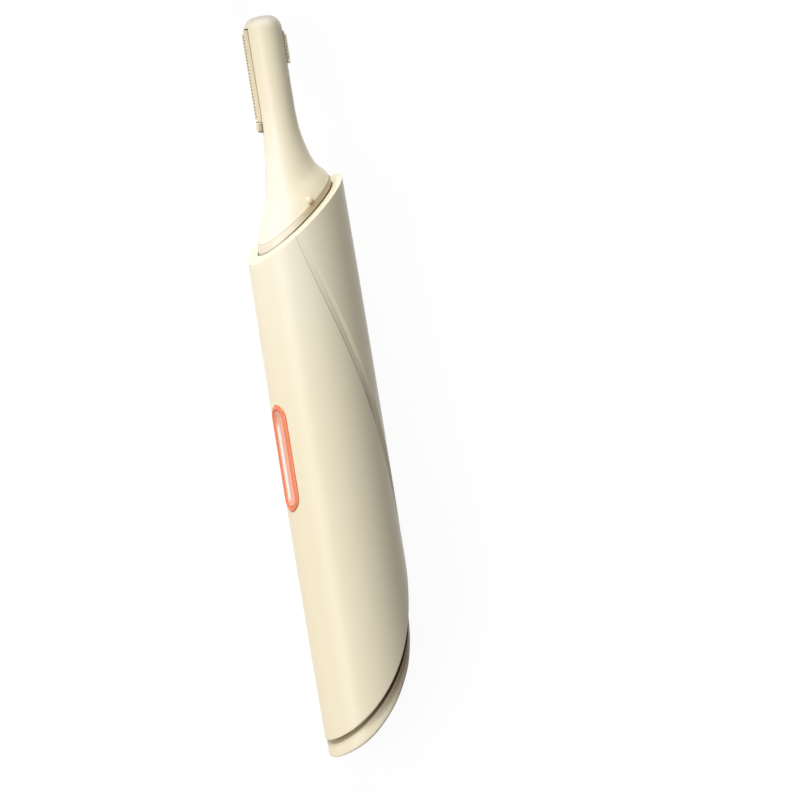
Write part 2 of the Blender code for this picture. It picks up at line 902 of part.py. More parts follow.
def make_motor():
    inner = motor_radius - motor_wall
    hole = bearing_radius + running_gap
    can = [
        (hole, motor_length),
        (motor_radius, motor_length),
        (motor_radius, 0),
        (inner, 0),
        (inner, motor_length - motor_wall),
        (hole, motor_length - motor_wall),
    ]
    smooth(turned("motor_can", can, motor_low, parts, closed=True), steel, 0.28, 1.0)

    plug = inner - running_gap
    bell_hole = shaft_radius + running_gap
    height = end_bell_flange + seat_gap + end_bell_plug
    bell = [
        (bell_hole, height),
        (plug, height),
        (plug, end_bell_flange),
        (motor_radius, end_bell_flange),
        (motor_radius, 0),
        (bell_hole, 0),
    ]
    smooth(turned("motor_end_bell", bell, end_bell_low, parts, closed=True), white_resin, 0.45)

    for place, up in (("upper", terminal_spread), ("lower", -terminal_spread)):
        start = end_bell_low - terminal_length + running_gap
        low = (start, terminal_front, up - terminal_width / 2)
        far = terminal_front + terminal_thickness
        high = (end_bell_low - running_gap, far, up + terminal_width / 2)
        smooth(blocks(f"motor_terminal_{place}", [(low, high)], parts), brass, 0.3, 1.0)

    bearing_top = motor_high + seat_gap + front_bulkhead_thickness / 2
    bearing = [
        (shaft_radius + running_gap, bearing_length),
        (bearing_radius, bearing_length),
        (bearing_radius, 0),
        (shaft_radius + running_gap, 0),
    ]
    race = turned("motor_bearing", bearing, bearing_top - bearing_length, parts, closed=True)
    smooth(race, brass, 0.35, 1.0)

    shaft_low = end_bell_low + end_bell_flange / 2
    shaft_length = cam_high - running_gap - shaft_low
    shaft = [(0, shaft_length), (shaft_radius, shaft_length), (shaft_radius, 0), (0, 0)]
    smooth(turned("motor_shaft", shaft, shaft_low, parts, fine_sides), steel, 0.2, 1.0)


def make_screws():
    """Two screws that hold the motor to the front wall, drawn as turned profiles."""
    head_low = front_bulkhead_high + running_gap
    length = head_low - front_bulkhead_low - running_gap
    head = screw_head_height - running_gap
    profile = [
        (0, length + head),
        (screw_head_radius * screw_dome_share, length + head),
        (screw_head_radius, length + head / 2),
        (screw_head_radius, length),
        (screw_shank_radius, length),
        (screw_shank_radius, 0),
        (0, 0),
    ]
    for place, up in (("upper", screw_circle_radius), ("lower", -screw_circle_radius)):
        low = front_bulkhead_low + running_gap
        screw = turned(f"motor_screw_{place}", profile, low, parts, fine_sides, up=up)
        smooth(screw, steel, 0.3, 1.0)


def make_leads():
    """Two short leads from the end of the board to the motor's terminals."""
    start_along = board_low + board_length + running_gap + lead_radius
    start_front = board_front - board_thickness / 2
    end_along = end_bell_low - terminal_length / 2
    end_front = terminal_front + terminal_thickness + running_gap + lead_radius
    steps = 6
    for place, up in (("upper", terminal_spread), ("lower", -terminal_spread)):
        points = []
        for n in range(steps + 1):
            share = n / steps
            ease = share * share * (3 - 2 * share)
            along = start_along + (end_along - start_along) * share
            points.append((along, start_front + (end_front - start_front) * ease, up))
        smooth(wire(f"motor_lead_{place}", points, lead_radius), lead_red, 0.4)


def make_eccentric():
    bore = shaft_radius + running_gap / 2
    profile = [
        (bore, cam_thickness),
        (cam_radius, cam_thickness),
        (cam_radius, 0),
        (bore, 0),
    ]
    cam = turned("eccentric_cam", profile, cam_low, parts, closed=True)
    boss_high = cam_high + cam_thickness / 4
    boss = round_rod("crank_boss", cam_high - running_gap / 2, boss_high, bore + eccentricity, cutters)
    pin = round_rod(
        "crank_pin", cam_high, crank_pin_top, crank_pin_radius, cutters, fine_sides, eccentricity
    )
    join(cam, boss, pin)
    smooth(cam, white_resin, 0.4)


def make_collar():
    """The ring that plugs into the handle, with two ears that hold the rocker's pin."""
    half = plug_half_depth
    top = rim_at(-handle_half_depth, collar_top_middle) + overrun
    collar = oval_rod("head_collar", collar_bottom, top, half, half * oval_share, parts)
    stand = oblique_cutter("collar_top", collar_top_middle, False)
    lip_half = head_half_depth - head_wall - seat_gap - collar_lip_stand / 2
    lip_low = collar_bottom + overrun
    lip = oval_rod("collar_lip", lip_low, top, lip_half, lip_half * oval_share, cutters)
    cut(lip, oblique_cutter("lip_top", collar_top_middle + collar_lip_stand, False))
    ring_inner = half - collar_wall
    low = collar_bottom - overrun
    high = top + overrun
    hollow = oval_rod("collar_hollow", low, high, ring_inner, ring_inner * oval_share, cutters)
    lip_inner = lip_half - collar_lip_wall
    lip_hollow = oval_rod("lip_hollow", low, high, lip_inner, lip_inner * oval_share, cutters)
    cut(lip, lip_hollow)
    cut(collar, stand, hollow)
    join(collar, lip)
    ears = []
    wall = ring_inner * oval_share + collar_wall / 2
    for side in (1, -1):
        low_up, high_up = sorted((side * ear_near, side * wall))
        corner = (lip_low, -ear_half_depth, low_up)
        ears.append((corner, (rim_middle, ear_half_depth, high_up)))
        low_up, high_up = sorted((side * ear_near, side * (ear_near + ear_thickness)))
        corner = (rim_middle - ear_thickness, -ear_half_depth, low_up)
        ears.append((corner, (ear_top, ear_half_depth, high_up)))
    for n, ear in enumerate(ears):
        join(collar, blocks(f"collar_ear_{n}", [ear], cutters))
    far = ear_near + ear_thickness + overrun / 4
    bore_radius = pivot_pin_radius + running_gap
    cut(collar, cross_rod("pin_bore", pivot_along, 0, -far, far, bore_radius, cutters))
    smooth(collar, tan, 0.35)

    half = ear_near + ear_thickness + running_gap
    pin = cross_rod(
        "rocker_pin", pivot_along, 0, -half, half, pivot_pin_radius, parts, sides=fine_sides
    )
    smooth(pin, steel, 0.2, 1.0)


def make_rocker():
    """A bell crank: a fork round the eccentric's pin, a hub, and a short arm with a drive peg."""
    origin = (pivot_along, 0, 0)
    wide = rocker_hub_half_width
    rocker = cross_rod(
        "rocker_lever", pivot_along, 0, -wide, wide, rocker_hub_radius, parts, origin=origin
    )
    bridge_low = crank_pin_top + seat_gap + running_gap
    outer = fork_half_gap + fork_tine
    fork = [
        (fork_tip_along, fork_half_gap),
        (bridge_low, fork_half_gap),
        (bridge_low, -fork_half_gap),
        (fork_tip_along, -fork_half_gap),
        (fork_tip_along, -outer),
        (bridge_low + fork_bridge, -outer),
        (pivot_along, -rocker_hub_radius * fork_neck_share),
        (pivot_along, rocker_hub_radius * fork_neck_share),
        (bridge_low + fork_bridge, outer),
        (fork_tip_along, outer),
    ]
    yoke = flat_shape("rocker_fork", fork, -fork_half_width, fork_half_width, cutters)
    root = rocker_hub_radius * arm_root_share
    side = peg_radius * arm_end_share
    tip = -short_arm - peg_radius * arm_tip_share
    outline = [
        (pivot_along - root, 0),
        (pivot_along - side, -short_arm),
        (pivot_along - peg_radius, tip),
        (pivot_along + peg_radius, tip),
        (pivot_along + side, -short_arm),
        (pivot_along + root, 0),
    ]
    arm = flat_shape("rocker_arm", outline, -wide, arm_thickness - wide, cutters)
    peg_low = arm_thickness / 2 - wide
    peg_high = rod_half_thickness + running_gap
    peg = cross_rod(
        "rocker_peg", pivot_along, -short_arm, peg_low, peg_high, peg_radius, cutters, sides=fine_sides
    )
    bore_radius = pivot_pin_radius + running_gap
    hole = cross_rod("rocker_bore", pivot_along, 0, -2 * wide, 2 * wide, bore_radius, cutters)
    join(rocker, yoke, arm, peg)
    cut(rocker, hole)
    smooth(rocker, white_resin, 0.4)


def make_drive_rod():
    origin = (pivot_along, -short_arm, 0)
    outline = []
    steps = 12
    for n in range(steps + 1):
        turn = rod_eye_start + rod_eye_span * n / steps
        along = pivot_along + rod_eye_radius * math.cos(turn)
        outline.append((along, -short_arm + rod_eye_radius * math.sin(turn)))
    outline += [
        (rod_bend_low, -short_arm - rod_half_depth),
        (rod_bend_high, -rod_half_depth),
        (rod_top, -rod_half_depth),
        (rod_top, rod_half_depth),
        (rod_bend_high - rod_half_depth, rod_half_depth),
        (rod_bend_low, -short_arm + rod_half_depth),
    ]
    thick = rod_half_thickness
    rod = flat_shape("drive_rod", outline, -thick, thick, parts, "side", origin)
    eye_radius = peg_radius + running_gap
    cut(
        rod,
        cross_rod("rod_eye", pivot_along, -short_arm, -2 * thick, 2 * thick, eye_radius, cutters),
    )
    smooth(rod, white_resin, 0.4)


def flare_rings(inset, columns, extra=0):
    """Oval rings that stand on the rim's slope and level out as they narrow into the bar."""
    rings = []
    for up_share, width_share, slope_share in flare_shares:
        half = bar_half_width + (head_half_depth - bar_half_width) * width_share - inset
        flat = 1 - (1 - oval_share) * width_share
        middle = head_base_middle + flare_length * up_share
        slope = rim_slope * slope_share
        if extra and up_share == 0:
            rings.append(slanted_ring(middle - extra, slope, half, flat, columns))
        rings.append(slanted_ring(middle, slope, half, flat, columns))
    return rings


def slanted_ring(middle, slope, half, flat, columns):
    ring = []
    for n in range(columns):
        turn = 2 * math.pi * n / columns
        front = half * math.cos(turn)
        ring.append((middle - slope * front, front, half * flat * math.sin(turn)))
    return ring


def turn_combs(thing):
    """Turns a piece of the combs' plane, or a cutter for it, about the bar."""
    thing.data.transform(Matrix.Rotation(comb_turn, 4, "X"))
    return thing


def brow_outline(steps=6):
    """The small brow over the long comb's top, seen from its side: it runs out into the dome."""
    reach = comb_reach - comb_top_round
    points = [(long_comb_top, comb_brow_root), (long_comb_top, reach)]
    low = long_comb_top + running_gap
    for n in range(steps):
        turn = math.pi / 2 * n / steps
        front = comb_brow_root + (reach - comb_brow_root) * math.cos(turn)
        points.append((low + (head_top - running_gap / 2 - low) * math.sin(turn), front))
    points.append((head_top - running_gap / 2, comb_brow_root))
    return points


def make_head():
    rings = flare_rings(0, head_columns)
    rings.append(slanted_ring(bar_shoulder, 0, bar_half_width, 1, head_columns))
    dome = head_top - bar_shoulder
    steps = 6
    for n in range(1, steps):
        turn = math.pi / 2 * n / steps
        half = bar_half_width * math.cos(turn) ** dome_fullness
        rings.append(slanted_ring(bar_shoulder + dome * math.sin(turn), 0, half, 1, head_columns))
    shell = loft("head_shell", rings, parts, None, (head_top, 0, 0))

    inner = flare_rings(head_wall, head_columns, overrun)
    kept = 1 + sum(shares[0] < cavity_share for shares in flare_shares)
    cavity = loft("head_cavity", inner[:kept], cutters)
    bore_low = head_base_middle + overrun
    bore_top = rod_top + blade_stroke_half + seat_gap
    bore = round_rod("bar_bore", bore_low, bore_top, bar_bore_radius, cutters)
    slot_half = comb_half_thickness + running_gap
    far = bar_half_width + overrun
    slot_low = long_comb_bottom - end_block_length - 3 * running_gap
    corner = (slot_low, bar_bore_radius / 2, -slot_half)
    front_box = (corner, (long_comb_top + running_gap, far, slot_half))
    wide = comb_half_thickness + seat_gap
    block_box = ((slot_low, bar_bore_radius / 2, -wide), (long_comb_bottom, far, wide))
    front_slot = turn_combs(blocks("front_slot", [front_box], cutters))
    block_slot = turn_combs(blocks("block_slot", [block_box], cutters))
    corner = (short_comb_bottom - running_gap, -far, -slot_half)
    back_box = (corner, (short_comb_top + running_gap, -bar_bore_radius / 2, slot_half))
    back_slot = turn_combs(blocks("back_slot", [back_box], cutters))
    half = comb_half_thickness
    brow = turn_combs(flat_shape("comb_brow", brow_outline(), -half, half, cutters))
    cut(join(shell, brow), cavity, bore, front_slot, block_slot, back_slot)
    for side in (1, -1):
        work = bmesh.new()
        place = Matrix.Translation((nib_along, 0, side * nib_seat()))
        bmesh.ops.create_uvsphere(
            work, u_segments=12, v_segments=8, radius=nib_radius, matrix=place
        )
        join(shell, add_object(f"cap_nib_{side}", mesh_from(work, "nib"), cutters))
    smooth(shell, cream, 0.2)


def nib_seat():
    """Half the head's height where the nibs stand."""
    share = (nib_along - head_base_middle) / flare_length
    for (low, wide, _), (high, narrow, _) in zip(flare_shares, flare_shares[1:]):
        if low <= share <= high:
            width = wide + (narrow - wide) * (share - low) / (high - low)
            half = bar_half_width + (head_half_depth - bar_half_width) * width
            return half * (1 - (1 - oval_share) * width)
    return bar_half_width


def comb_outline(direction):
    """A comb's section: a channel whose closed end is the cutting edge."""
    reach = comb_reach
    half = comb_half_thickness
    inner = comb_half_thickness - comb_wall
    bottom = reach - comb_tip_wall
    chamfer = comb_wall / 2
    points = [
        (comb_root, -half),
        (reach - chamfer, -half),
        (reach, -half + chamfer),
        (reach, half - chamfer),
        (reach - chamfer, half),
        (comb_root, half),
        (comb_root, inner),
        (bottom, inner),
        (bottom, -inner),
        (comb_root, -inner),
    ]
    return [(direction * u, v) for u, v in points]


def comb_form(low, high, direction):
    """A comb seen from its side: square below, its top corner round."""
    past = running_gap
    centre_along = high - comb_top_round
    centre_front = comb_reach - comb_top_round
    points = [(low - past, 0), (low - past, comb_reach + past), (centre_along, comb_reach + past)]
    steps = 5
    for n in range(steps + 1):
        turn = math.pi / 2 * n / steps
        along = centre_along + comb_top_round * math.sin(turn)
        points.append((along, centre_front + comb_top_round * math.cos(turn)))
    points += [(high + past, centre_front), (high + past, 0)]
    return [(along, direction * front) for along, front in points]


def make_comb(name, low, high, direction):
    comb = flat_shape(name, comb_outline(direction), low, high, parts, "end")
    wide = 2 * comb_half_thickness
    form = flat_shape(name + "_form", comb_form(low, high, direction), -wide, wide, cutters)
    count = int((high - low - tooth_pitch) / tooth_pitch)
    start = (low + high) / 2 - (count - 1) * tooth_pitch / 2
    slots = []
    for n in range(count):
        middle = start + n * tooth_pitch
        bottom = direction * (comb_reach - tooth_slot_depth)
        near, far = sorted((bottom, direction * (comb_reach + overrun / 4)))
        corner = (middle - tooth_slot / 2, near, -wide)
        slots.append((corner, (middle + tooth_slot / 2, far, wide)))
    keep(turn_combs(comb), turn_combs(form))
    cut(comb, turn_combs(blocks(name + "_slots", slots, cutters)))
    smooth(comb, cream, 0.3)


def make_blade(name, low, high, direction):
    """A toothed strip that slides inside its comb."""
    low += blade_stroke_half + running_gap
    high -= blade_stroke_half + running_gap
    tip = comb_reach - comb_tip_wall - running_gap
    root = tip - blade_tooth_height
    count = int((high - low) / tooth_pitch)
    start = (low + high) / 2 - count * tooth_pitch / 2
    points = [(high, blade_root), (low, blade_root), (low, root)]
    for n in range(count):
        for share, height in zip(blade_tooth_shares, (root, tip, tip, root)):
            points.append((start + (n + share) * tooth_pitch, height))
    points.append((high, root))
    outline = [(along, direction * front) for along, front in points]
    blade = flat_shape(name, outline, -blade_half_thickness, blade_half_thickness, parts)
    smooth(turn_combs(blade), dark_steel, 0.3, 1.0)


def make_blades():
    make_comb("long_comb", long_comb_bottom, long_comb_top, 1)
    make_comb("short_comb", short_comb_bottom, short_comb_top, -1)
    make_blade("long_moving_blade", long_comb_bottom, long_comb_top, 1)
    make_blade("short_moving_blade", short_comb_bottom, short_comb_top, -1)
    high = long_comb_bottom - running_gap
    corner = (high - end_block_length, comb_root, -comb_half_thickness)
    far = (high, end_block_reach, comb_half_thickness)
    block = blocks("long_comb_end_block", [(corner, far)], parts, comb_wall)
    smooth(turn_combs(block), cream, 0.3)


def cap_top_at(front, up, depth, rise):
    """The cap's slanted top: a quarter of an ellipse across it, a little crowned."""
    share = min(max((front + handle_end_half_depth) / depth, 0), 1)
    drop = cap_crown * (up / (handle_end_half_depth * oval_share)) ** 2
    return cap_shift + cap_top_along + rise * math.sqrt(1 - share**2) - drop * (1 - share)


def cap_ledge_at(turn):
    """How deep the step under the top edge is: full at the back, gone at the front."""
    away = min(turn, 2 * math.pi - turn)
    share = min(max((away - cap_ledge_start) / cap_ledge_blend, 0), 1)
    return cap_ledge_depth * (0.5 - 0.5 * math.cos(share * math.pi))


def cap_ring(half, along_at, inset_at=None):
    """An oval ring whose places along the trimmer come from along_at(front, up)."""
    ring = []
    for n in range(cap_columns):
        turn = 2 * math.pi * n / cap_columns
        front = half * math.cos(turn)
        up = half * oval_share * math.sin(turn)
        scale = 1 - inset_at(turn) / half if inset_at else 1
        ring.append((along_at(front, up), front * scale, up * scale))
    return ring


def make_cap():
    """The cap as it lies when pulled off, one travel ahead of its seat."""
    half = handle_end_half_depth
    depth = 2 * half

    def rim(front, up):
        return rim_at(front) + cap_shift

    def top(front, up):
        return cap_top_at(front, up, depth, cap_top_rise)

    def wall(share):
        def along_at(front, up):
            low = rim(front, up)
            return low + share * (top(front, up) - cap_ledge_below - low)

        return along_at

    def band(lift):
        return lambda front, up: top(front, up) - cap_ledge_below + lift

    def inner_top(front, up):
        return cap_top_at(front, up, depth - cap_front_wall, cap_top_rise - cap_top_wall)

    rings = [cap_ring(half, rim)]
    rings += [cap_ring(half, wall(share)) for share in cap_wall_shares]
    rings.append(cap_ring(half, band(cap_ledge_depth), cap_ledge_at))
    rings.append(cap_ring(half, band(cap_ledge_below - cap_edge_fillet), cap_ledge_at))
    rings += [cap_ring(half * share, top) for share in cap_edge_shares]
    cap = loft("cap_shell", rings, parts, None, (top(0, 0), 0, 0), (cap_shift, 0, 0))

    floor = rim(half, 0) - overrun
    hollow = [cap_ring(bore_half_depth, lambda front, up: floor)]
    hollow += [cap_ring(bore_half_depth * share, inner_top) for share in cap_hollow_shares]
    cut(cap, loft("cap_hollow", hollow, cutters, None, (inner_top(0, 0), 0, 0)))
    smooth(cap, cream, 0.2)


def stand_on_surface():
    """Moves the empty so that the world's origin is under the middle of the trimmer."""
    bpy.context.view_layer.update()
    graph = bpy.context.evaluated_depsgraph_get()
    corners = []
    for thing in parts.objects:
        if thing.type == "MESH":
            ready = thing.evaluated_get(graph)
            corners += [ready.matrix_world @ Vector(corner) for corner in ready.bound_box]
    low = [min(corner[n] for corner in corners) for n in range(3)]
    high = [max(corner[n] for corner in corners) for n in range(3)]
    axis_empty.location = (-(low[0] + high[0]) / 2, -(low[1] + high[1]) / 2, -low[2])


make_sleeve()
make_button()
make_base()
make_battery()
make_frame()
make_board()
make_motor()
make_screws()
make_leads()
make_eccentric()
make_collar()
make_rocker()
make_drive_rod()
make_head()
make_blades()
make_cap()
stand_on_surface()
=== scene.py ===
from math import cos, degrees, hypot, pi, radians, sin, sqrt

import bmesh
import bpy
from mathutils import Matrix, Vector
from mathutils.bvhtree import BVHTree
from mathutils.interpolate import poly_3d_calc


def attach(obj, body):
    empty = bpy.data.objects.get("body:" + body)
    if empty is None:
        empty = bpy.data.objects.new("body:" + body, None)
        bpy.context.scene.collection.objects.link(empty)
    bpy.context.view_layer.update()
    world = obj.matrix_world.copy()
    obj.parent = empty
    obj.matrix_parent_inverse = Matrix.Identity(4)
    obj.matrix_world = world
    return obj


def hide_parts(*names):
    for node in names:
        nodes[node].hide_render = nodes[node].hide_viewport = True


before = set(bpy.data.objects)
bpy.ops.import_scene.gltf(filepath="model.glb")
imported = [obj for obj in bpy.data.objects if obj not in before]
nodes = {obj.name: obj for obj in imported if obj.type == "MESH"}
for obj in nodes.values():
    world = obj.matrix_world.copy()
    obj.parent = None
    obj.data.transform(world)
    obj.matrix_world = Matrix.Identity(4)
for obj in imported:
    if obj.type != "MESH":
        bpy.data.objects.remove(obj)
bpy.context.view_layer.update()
scene = bpy.context.scene
mm = 0.001

# Sizes in mm. Along runs from the base to the head, front is the button's side, up leaves the floor.
trimmer = {
    "axis": (0.1031138, 0.0001282, 0.0093531),
    "half": 10.17, "endHalf": 9.96, "middle": 52.0, "reach": 50.0, "oval": 0.92,
    "bore": 8.1, "plug": 7.8,
    "rim": 98.7, "rimSlope": 0.72,
    "heelRadius": 42.6, "heelFront": 33.5, "heelAlong": 38.75, "heelArcEnd": 26.0,
    "capShift": 54.3, "combTurn": -24.0,
}


def place(along, front, up):
    x, y, z = trimmer["axis"]
    return Vector((x - along * mm, y - front * mm, z + up * mm))


def ownPlace(point):
    x, y, z = trimmer["axis"]
    return (x - point.x) / mm, (y - point.y) / mm, (point.z - z) / mm


def placeTurned(along, front, up):
    # The combs lie in a plane that is turned about the bar
    turn = radians(trimmer["combTurn"])
    ahead, over = cos(turn), sin(turn)
    return place(along, front * ahead - up * over, front * over + up * ahead)


def handleHalf(along):
    away = min(abs(along - trimmer["middle"]) / trimmer["reach"], 1)
    return trimmer["endHalf"] + (trimmer["half"] - trimmer["endHalf"]) * (1 - away ** 2)


def rimAt(front):
    return trimmer["rim"] - trimmer["rimSlope"] * front


def heelAt(front):
    # An arc at the front, then a straight slope that goes on from its end
    radius, centre, along, end = (trimmer[key] for key in ("heelRadius", "heelFront", "heelAlong", "heelArcEnd"))
    reach = sqrt(radius ** 2 - (along - end) ** 2)
    turnFront = centre - reach
    if front > turnFront:
        return along - sqrt(radius ** 2 - (front - centre) ** 2)
    return end + reach / (along - end) * (turnFront - front)


def ease(value, low, high):
    share = min(max((value - low) / (high - low), 0), 1)
    return share * share * (3 - 2 * share)


def turnsRound(count):
    return [2 * pi * n / count for n in range(count)]


def rounding(steps, start=0):
    # Along a quarter circle: the shares of its radius that are left out across and along
    bends = [pi / 2 * n / steps for n in range(start, steps + 1)]
    return [(1 - cos(bend), 1 - sin(bend)) for bend in bends]


def ovalRing(columns, half, alongAt, flat=1.0):
    # A ring round the axis; a function may give its half width, and one gives its place along
    ring = []
    for turn in turnsRound(columns):
        wide = half(turn) if callable(half) else half
        front, up = wide * cos(turn), wide * flat * sin(turn)
        ring.append(place(alongAt(front), front, up))
    return ring


def pieceOf(name, data):
    made = bpy.data.objects.new(name, data)
    scene.collection.objects.link(made)
    return made


def remove(*pieces):
    for piece in pieces:
        bpy.data.objects.remove(piece, do_unlink=True)


# Camera, light and floor

view = {
    "pixel": 0.1838, "picture": 800, "sensor": 36, "farEnd": 20,  # mm a pixel, pixels, mm, m
    "tilt": 9.2, "turn": 62.0,  # lean to the left, degrees round from the front
    "along": 62.7, "side": 13.7, "distance": 1.1,
    "lampAim": (0, 0, 0.01),
}

# Lamps: place, size of the box, strength
lamps = {
    "keyBox": ((-0.55, -0.76, 0.32), (1.3, 0.55), 0.6),
    "frontBox": ((0.15, -0.9, 0.4), (1.0, 0.5), 6.4),
    "topBox": ((-0.95, 0.1, 0.42), (0.9, 0.5), 5.1),
    "softBox": ((0.1, -0.35, 1.0), (1.0, 0.7), 1.2),
    "endBox": ((-1.05, -0.35, 0.36), (0.6, 0.4), 5.2),
}
stage = {
    "glow": 0.9, "shadow": 0.22, "sky": 0.04, "skyColour": (1, 0.99, 0.97),
    "floor": (0.72, 0.68, 0.60), "floorPale": (0.74, 0.70, 0.62), "floorDark": (0.70, 0.66, 0.58),
    "floorHalf": 6.0, "floorDrop": 0.0001, "grain": 60,
}


def makeCamera():
    turn, tilt = radians(view["turn"]), radians(view["tilt"])
    back = Vector((0, -cos(turn), sin(turn)))
    axis = Vector((-1, 0, 0))
    side = Vector((0, sin(turn), cos(turn)))
    right, top = side * cos(tilt) - axis * sin(tilt), axis * cos(tilt) + side * sin(tilt)
    lens = bpy.data.cameras.new("photoCamera")
    lens.sensor_width, lens.clip_end = view["sensor"], view["farEnd"]
    lens.lens = view["sensor"] * view["distance"] / (view["picture"] * view["pixel"] * mm)
    target = place(0, 0, 0) + axis * view["along"] * mm + side * view["side"] * mm
    pose = Matrix((right, top, back)).transposed().to_4x4()
    pose.translation = target + back * view["distance"]
    scene.camera = pieceOf("photoCamera", lens)
    scene.camera.matrix_world = pose


def makeLamp(name, where, size, strength):
    lamp = bpy.data.lights.new(name, "AREA")
    lamp.shape = "RECTANGLE"
    lamp.size, lamp.size_y = size
    lamp.energy = strength
    made = pieceOf(name, lamp)
    made.location = where
    made.rotation_mode = "QUATERNION"
    made.rotation_quaternion = (Vector(view["lampAim"]) - Vector(where)).to_track_quat("-Z", "Y")


makeCamera()
for name, (where, size, strength) in lamps.items():
    makeLamp(name, where, size, strength)
scene.view_settings.view_transform = "Standard"
print("camera and lamps ready")


# Shader maths and nodes

class Maths:
    def __init__(self, maker, socket):
        self.maker, self.socket = maker, socket

    def step(self, operation, first, second=None):
        return self.maker.node("ShaderNodeMath", {"operation": operation}, [first, second])

    def __add__(self, other):
        return self.step("ADD", self, other)

    def __sub__(self, other):
        return self.step("SUBTRACT", self, other)

    def __rsub__(self, other):
        return self.step("SUBTRACT", other, self)

    def __mul__(self, other):
        return self.step("MULTIPLY", self, other)

    def __truediv__(self, other):
        return self.step("DIVIDE", self, other)

    def __pow__(self, other):
        return self.step("POWER", self, other)

    __radd__ = __add__
    __rmul__ = __mul__


class Maker:
    # Adds nodes to a tree; a value is a number, a colour or another node's result
    def __init__(self, tree):
        self.tree = tree

    def node(self, kind, settings=None, values=(), output=0):
        made = self.tree.nodes.new(kind)
        for key, value in (settings or {}).items():
            setattr(made, key, value)
        pairs = values.items() if isinstance(values, dict) else enumerate(values)
        for key, value in pairs:
            if isinstance(value, Maths):
                self.tree.links.new(value.socket, made.inputs[key])
            elif value is not None:
                made.inputs[key].default_value = value
        return Maths(self, made.outputs[output]) if made.outputs else None

    def results(self, kind, names=None, values=()):
        outputs = self.node(kind, {}, values).socket.node.outputs
        return [Maths(self, outputs[name]) for name in names or range(len(outputs))]


class Finish(Maker):
    def __init__(self, name, colour, roughness, metallic=0.0, **plain):
        self.material = bpy.data.materials.new(name)
        self.material.use_nodes = True
        super().__init__(self.material.node_tree)
        self.shader = self.tree.nodes["Principled BSDF"]
        plain.update(Base_Color=(*colour, 1), Roughness=roughness, Metallic=metallic)
        for socket, value in plain.items():
            self.shader.inputs[socket.replace("_", " ")].default_value = value
        self.material.diffuse_color = (*colour, 1)

    def place(self, stretch=None):
        spot = self.node("ShaderNodeTexCoord", output="Object")
        return self.node("ShaderNodeMapping", {}, {"Vector": spot, "Scale": stretch}) if stretch else spot

    def noise(self, scale, detail=2.0, stretch=None, rough=0.5):
        values = {"Vector": self.place(stretch), "Scale": scale, "Detail": detail, "Roughness": rough}
        return self.node("ShaderNodeTexNoise", {}, values, "Fac")

    def over(self, share, first, second):
        # A plain colour laid over another one, which may vary
        first = first if isinstance(first, Maths) else (*first, 1)
        return self.node("ShaderNodeMix", {"data_type": "RGBA"}, {0: share, 6: first, 7: (*second, 1)}, 2)

    def ramp(self, value, low, high):
        given = {"Value": value, "From Min": low, "From Max": high}
        return self.node("ShaderNodeMapRange", {"interpolation_type": "SMOOTHSTEP"}, given)

    def fall(self, value, low, high):
        return 1 - self.ramp(value, low, high)

    def own(self):
        # Along, front and up in the trimmer's own mm
        x, y, z = self.results("ShaderNodeSeparateXYZ", None, [self.place()])
        axis = trimmer["axis"]
        return (axis[0] - x) / mm, (axis[1] - y) / mm, (z - axis[2]) / mm

    def feed(self, socket, value):
        self.tree.links.new(value.socket, self.shader.inputs[socket])

    def bump(self, height, strength, distance):
        values = {"Height": height, "Strength": strength, "Distance": distance}
        self.feed("Normal", self.node("ShaderNodeBump", {}, values))


def tone(*levels):
    # A screen colour, its levels up to 255, as linear light
    return tuple(((level / 255 + 0.055) / 1.055) ** 2.4 for level in levels)


# Painted light and shade: the span in mm or degrees over which a colour fades, its screen levels and its greatest
# share
paint = {
    "whiterHighlight": ((55.0, 98.0), (249, 242, 225), 0.6),
    "creaseShade": ((60.0, 71.0), (116, 99, 72), 0.9),
    "creaseShadeLine": ((0.5, 1.7), (104, 82, 54), 1),
    "barSeamShade": ((3.22, 3.38), (178, 161, 130), 1),
    "combFootShade": ((117.15, 117.4), (150, 132, 104), 1),
    "blockShade": ((3.3, 4.5), (172, 152, 120), 1),
    "blockFootShade": ((115.3, 115.8), (124, 106, 80), 1),
    "blockSeamShade": ((3.22, 3.42), (104, 88, 64), 1),
    "nibShade": ((0.35, 0.85), (164, 130, 94), 0.8),
    "flareHighlight": ((107.0, 126.0), (252, 247, 233), 0.75),
    "tip": ((133.6, 136.0), (254, 250, 238), 0.7),
    "collarFrontHighlight": ((-0.8, 4.6), (234, 224, 205), 1),
    "collarSeamShadow": ((98.86, 98.97), (70, 58, 42), 1),
}
# Places and spans for the painted shade and highlights, in mm, and the tone of the base's painted shade
zones = {
    "nibSpot": (100.95, -0.75), "offAxis": (4.0, 9.0), "flareSide": (-2.0, 1.4), "toSide": (0.469, 0.883),
    "seamStart": (98.3, 98.5), "seamFade": (2.0, 7.0), "seamLoss": 0.6, "baseTone": (118, 101, 76),
}
resin = {
    "cloud": 38, "cloudStretch": (0.35, 1, 1), "cloudShare": 0.8, "cloudGloss": 0.07,
    "peel": 900, "peelGloss": 0.03, "peelStrength": 0.05, "peelHeight": 0.00004,
}


def painted(made, name, value, within=1, rising=False):
    # A colour of the table where the value lies below its span, or above it, and its share there
    span, levels, most = paint[name]
    share = made.ramp(value, *span) if rising else made.fall(value, *span)
    return share * most * within, levels


def mouldedPlastic(name, colour, warm, roughness, lightAndShade=None, **plain):
    # Glossy moulded resin: faint warm clouding, a slightly uneven gloss and a very fine orange peel
    made = Finish(name, tone(*colour), roughness, **plain)
    cloud = made.noise(resin["cloud"], 2.0, resin["cloudStretch"])
    peel = made.noise(resin["peel"])
    shown = made.over(cloud * resin["cloudShare"], tone(*colour), tone(*warm))
    # Painted highlights and shade laid over the resin's colour
    for share, levels in lightAndShade(made) if lightAndShade else ():
        shown = made.over(share, shown, tone(*levels))
    made.feed("Base Color", shown)
    made.feed("Roughness", roughness + resin["cloudGloss"] * (cloud - 0.5) + resin["peelGloss"] * peel)
    made.bump(peel, resin["peelStrength"], resin["peelHeight"])
    return made.material


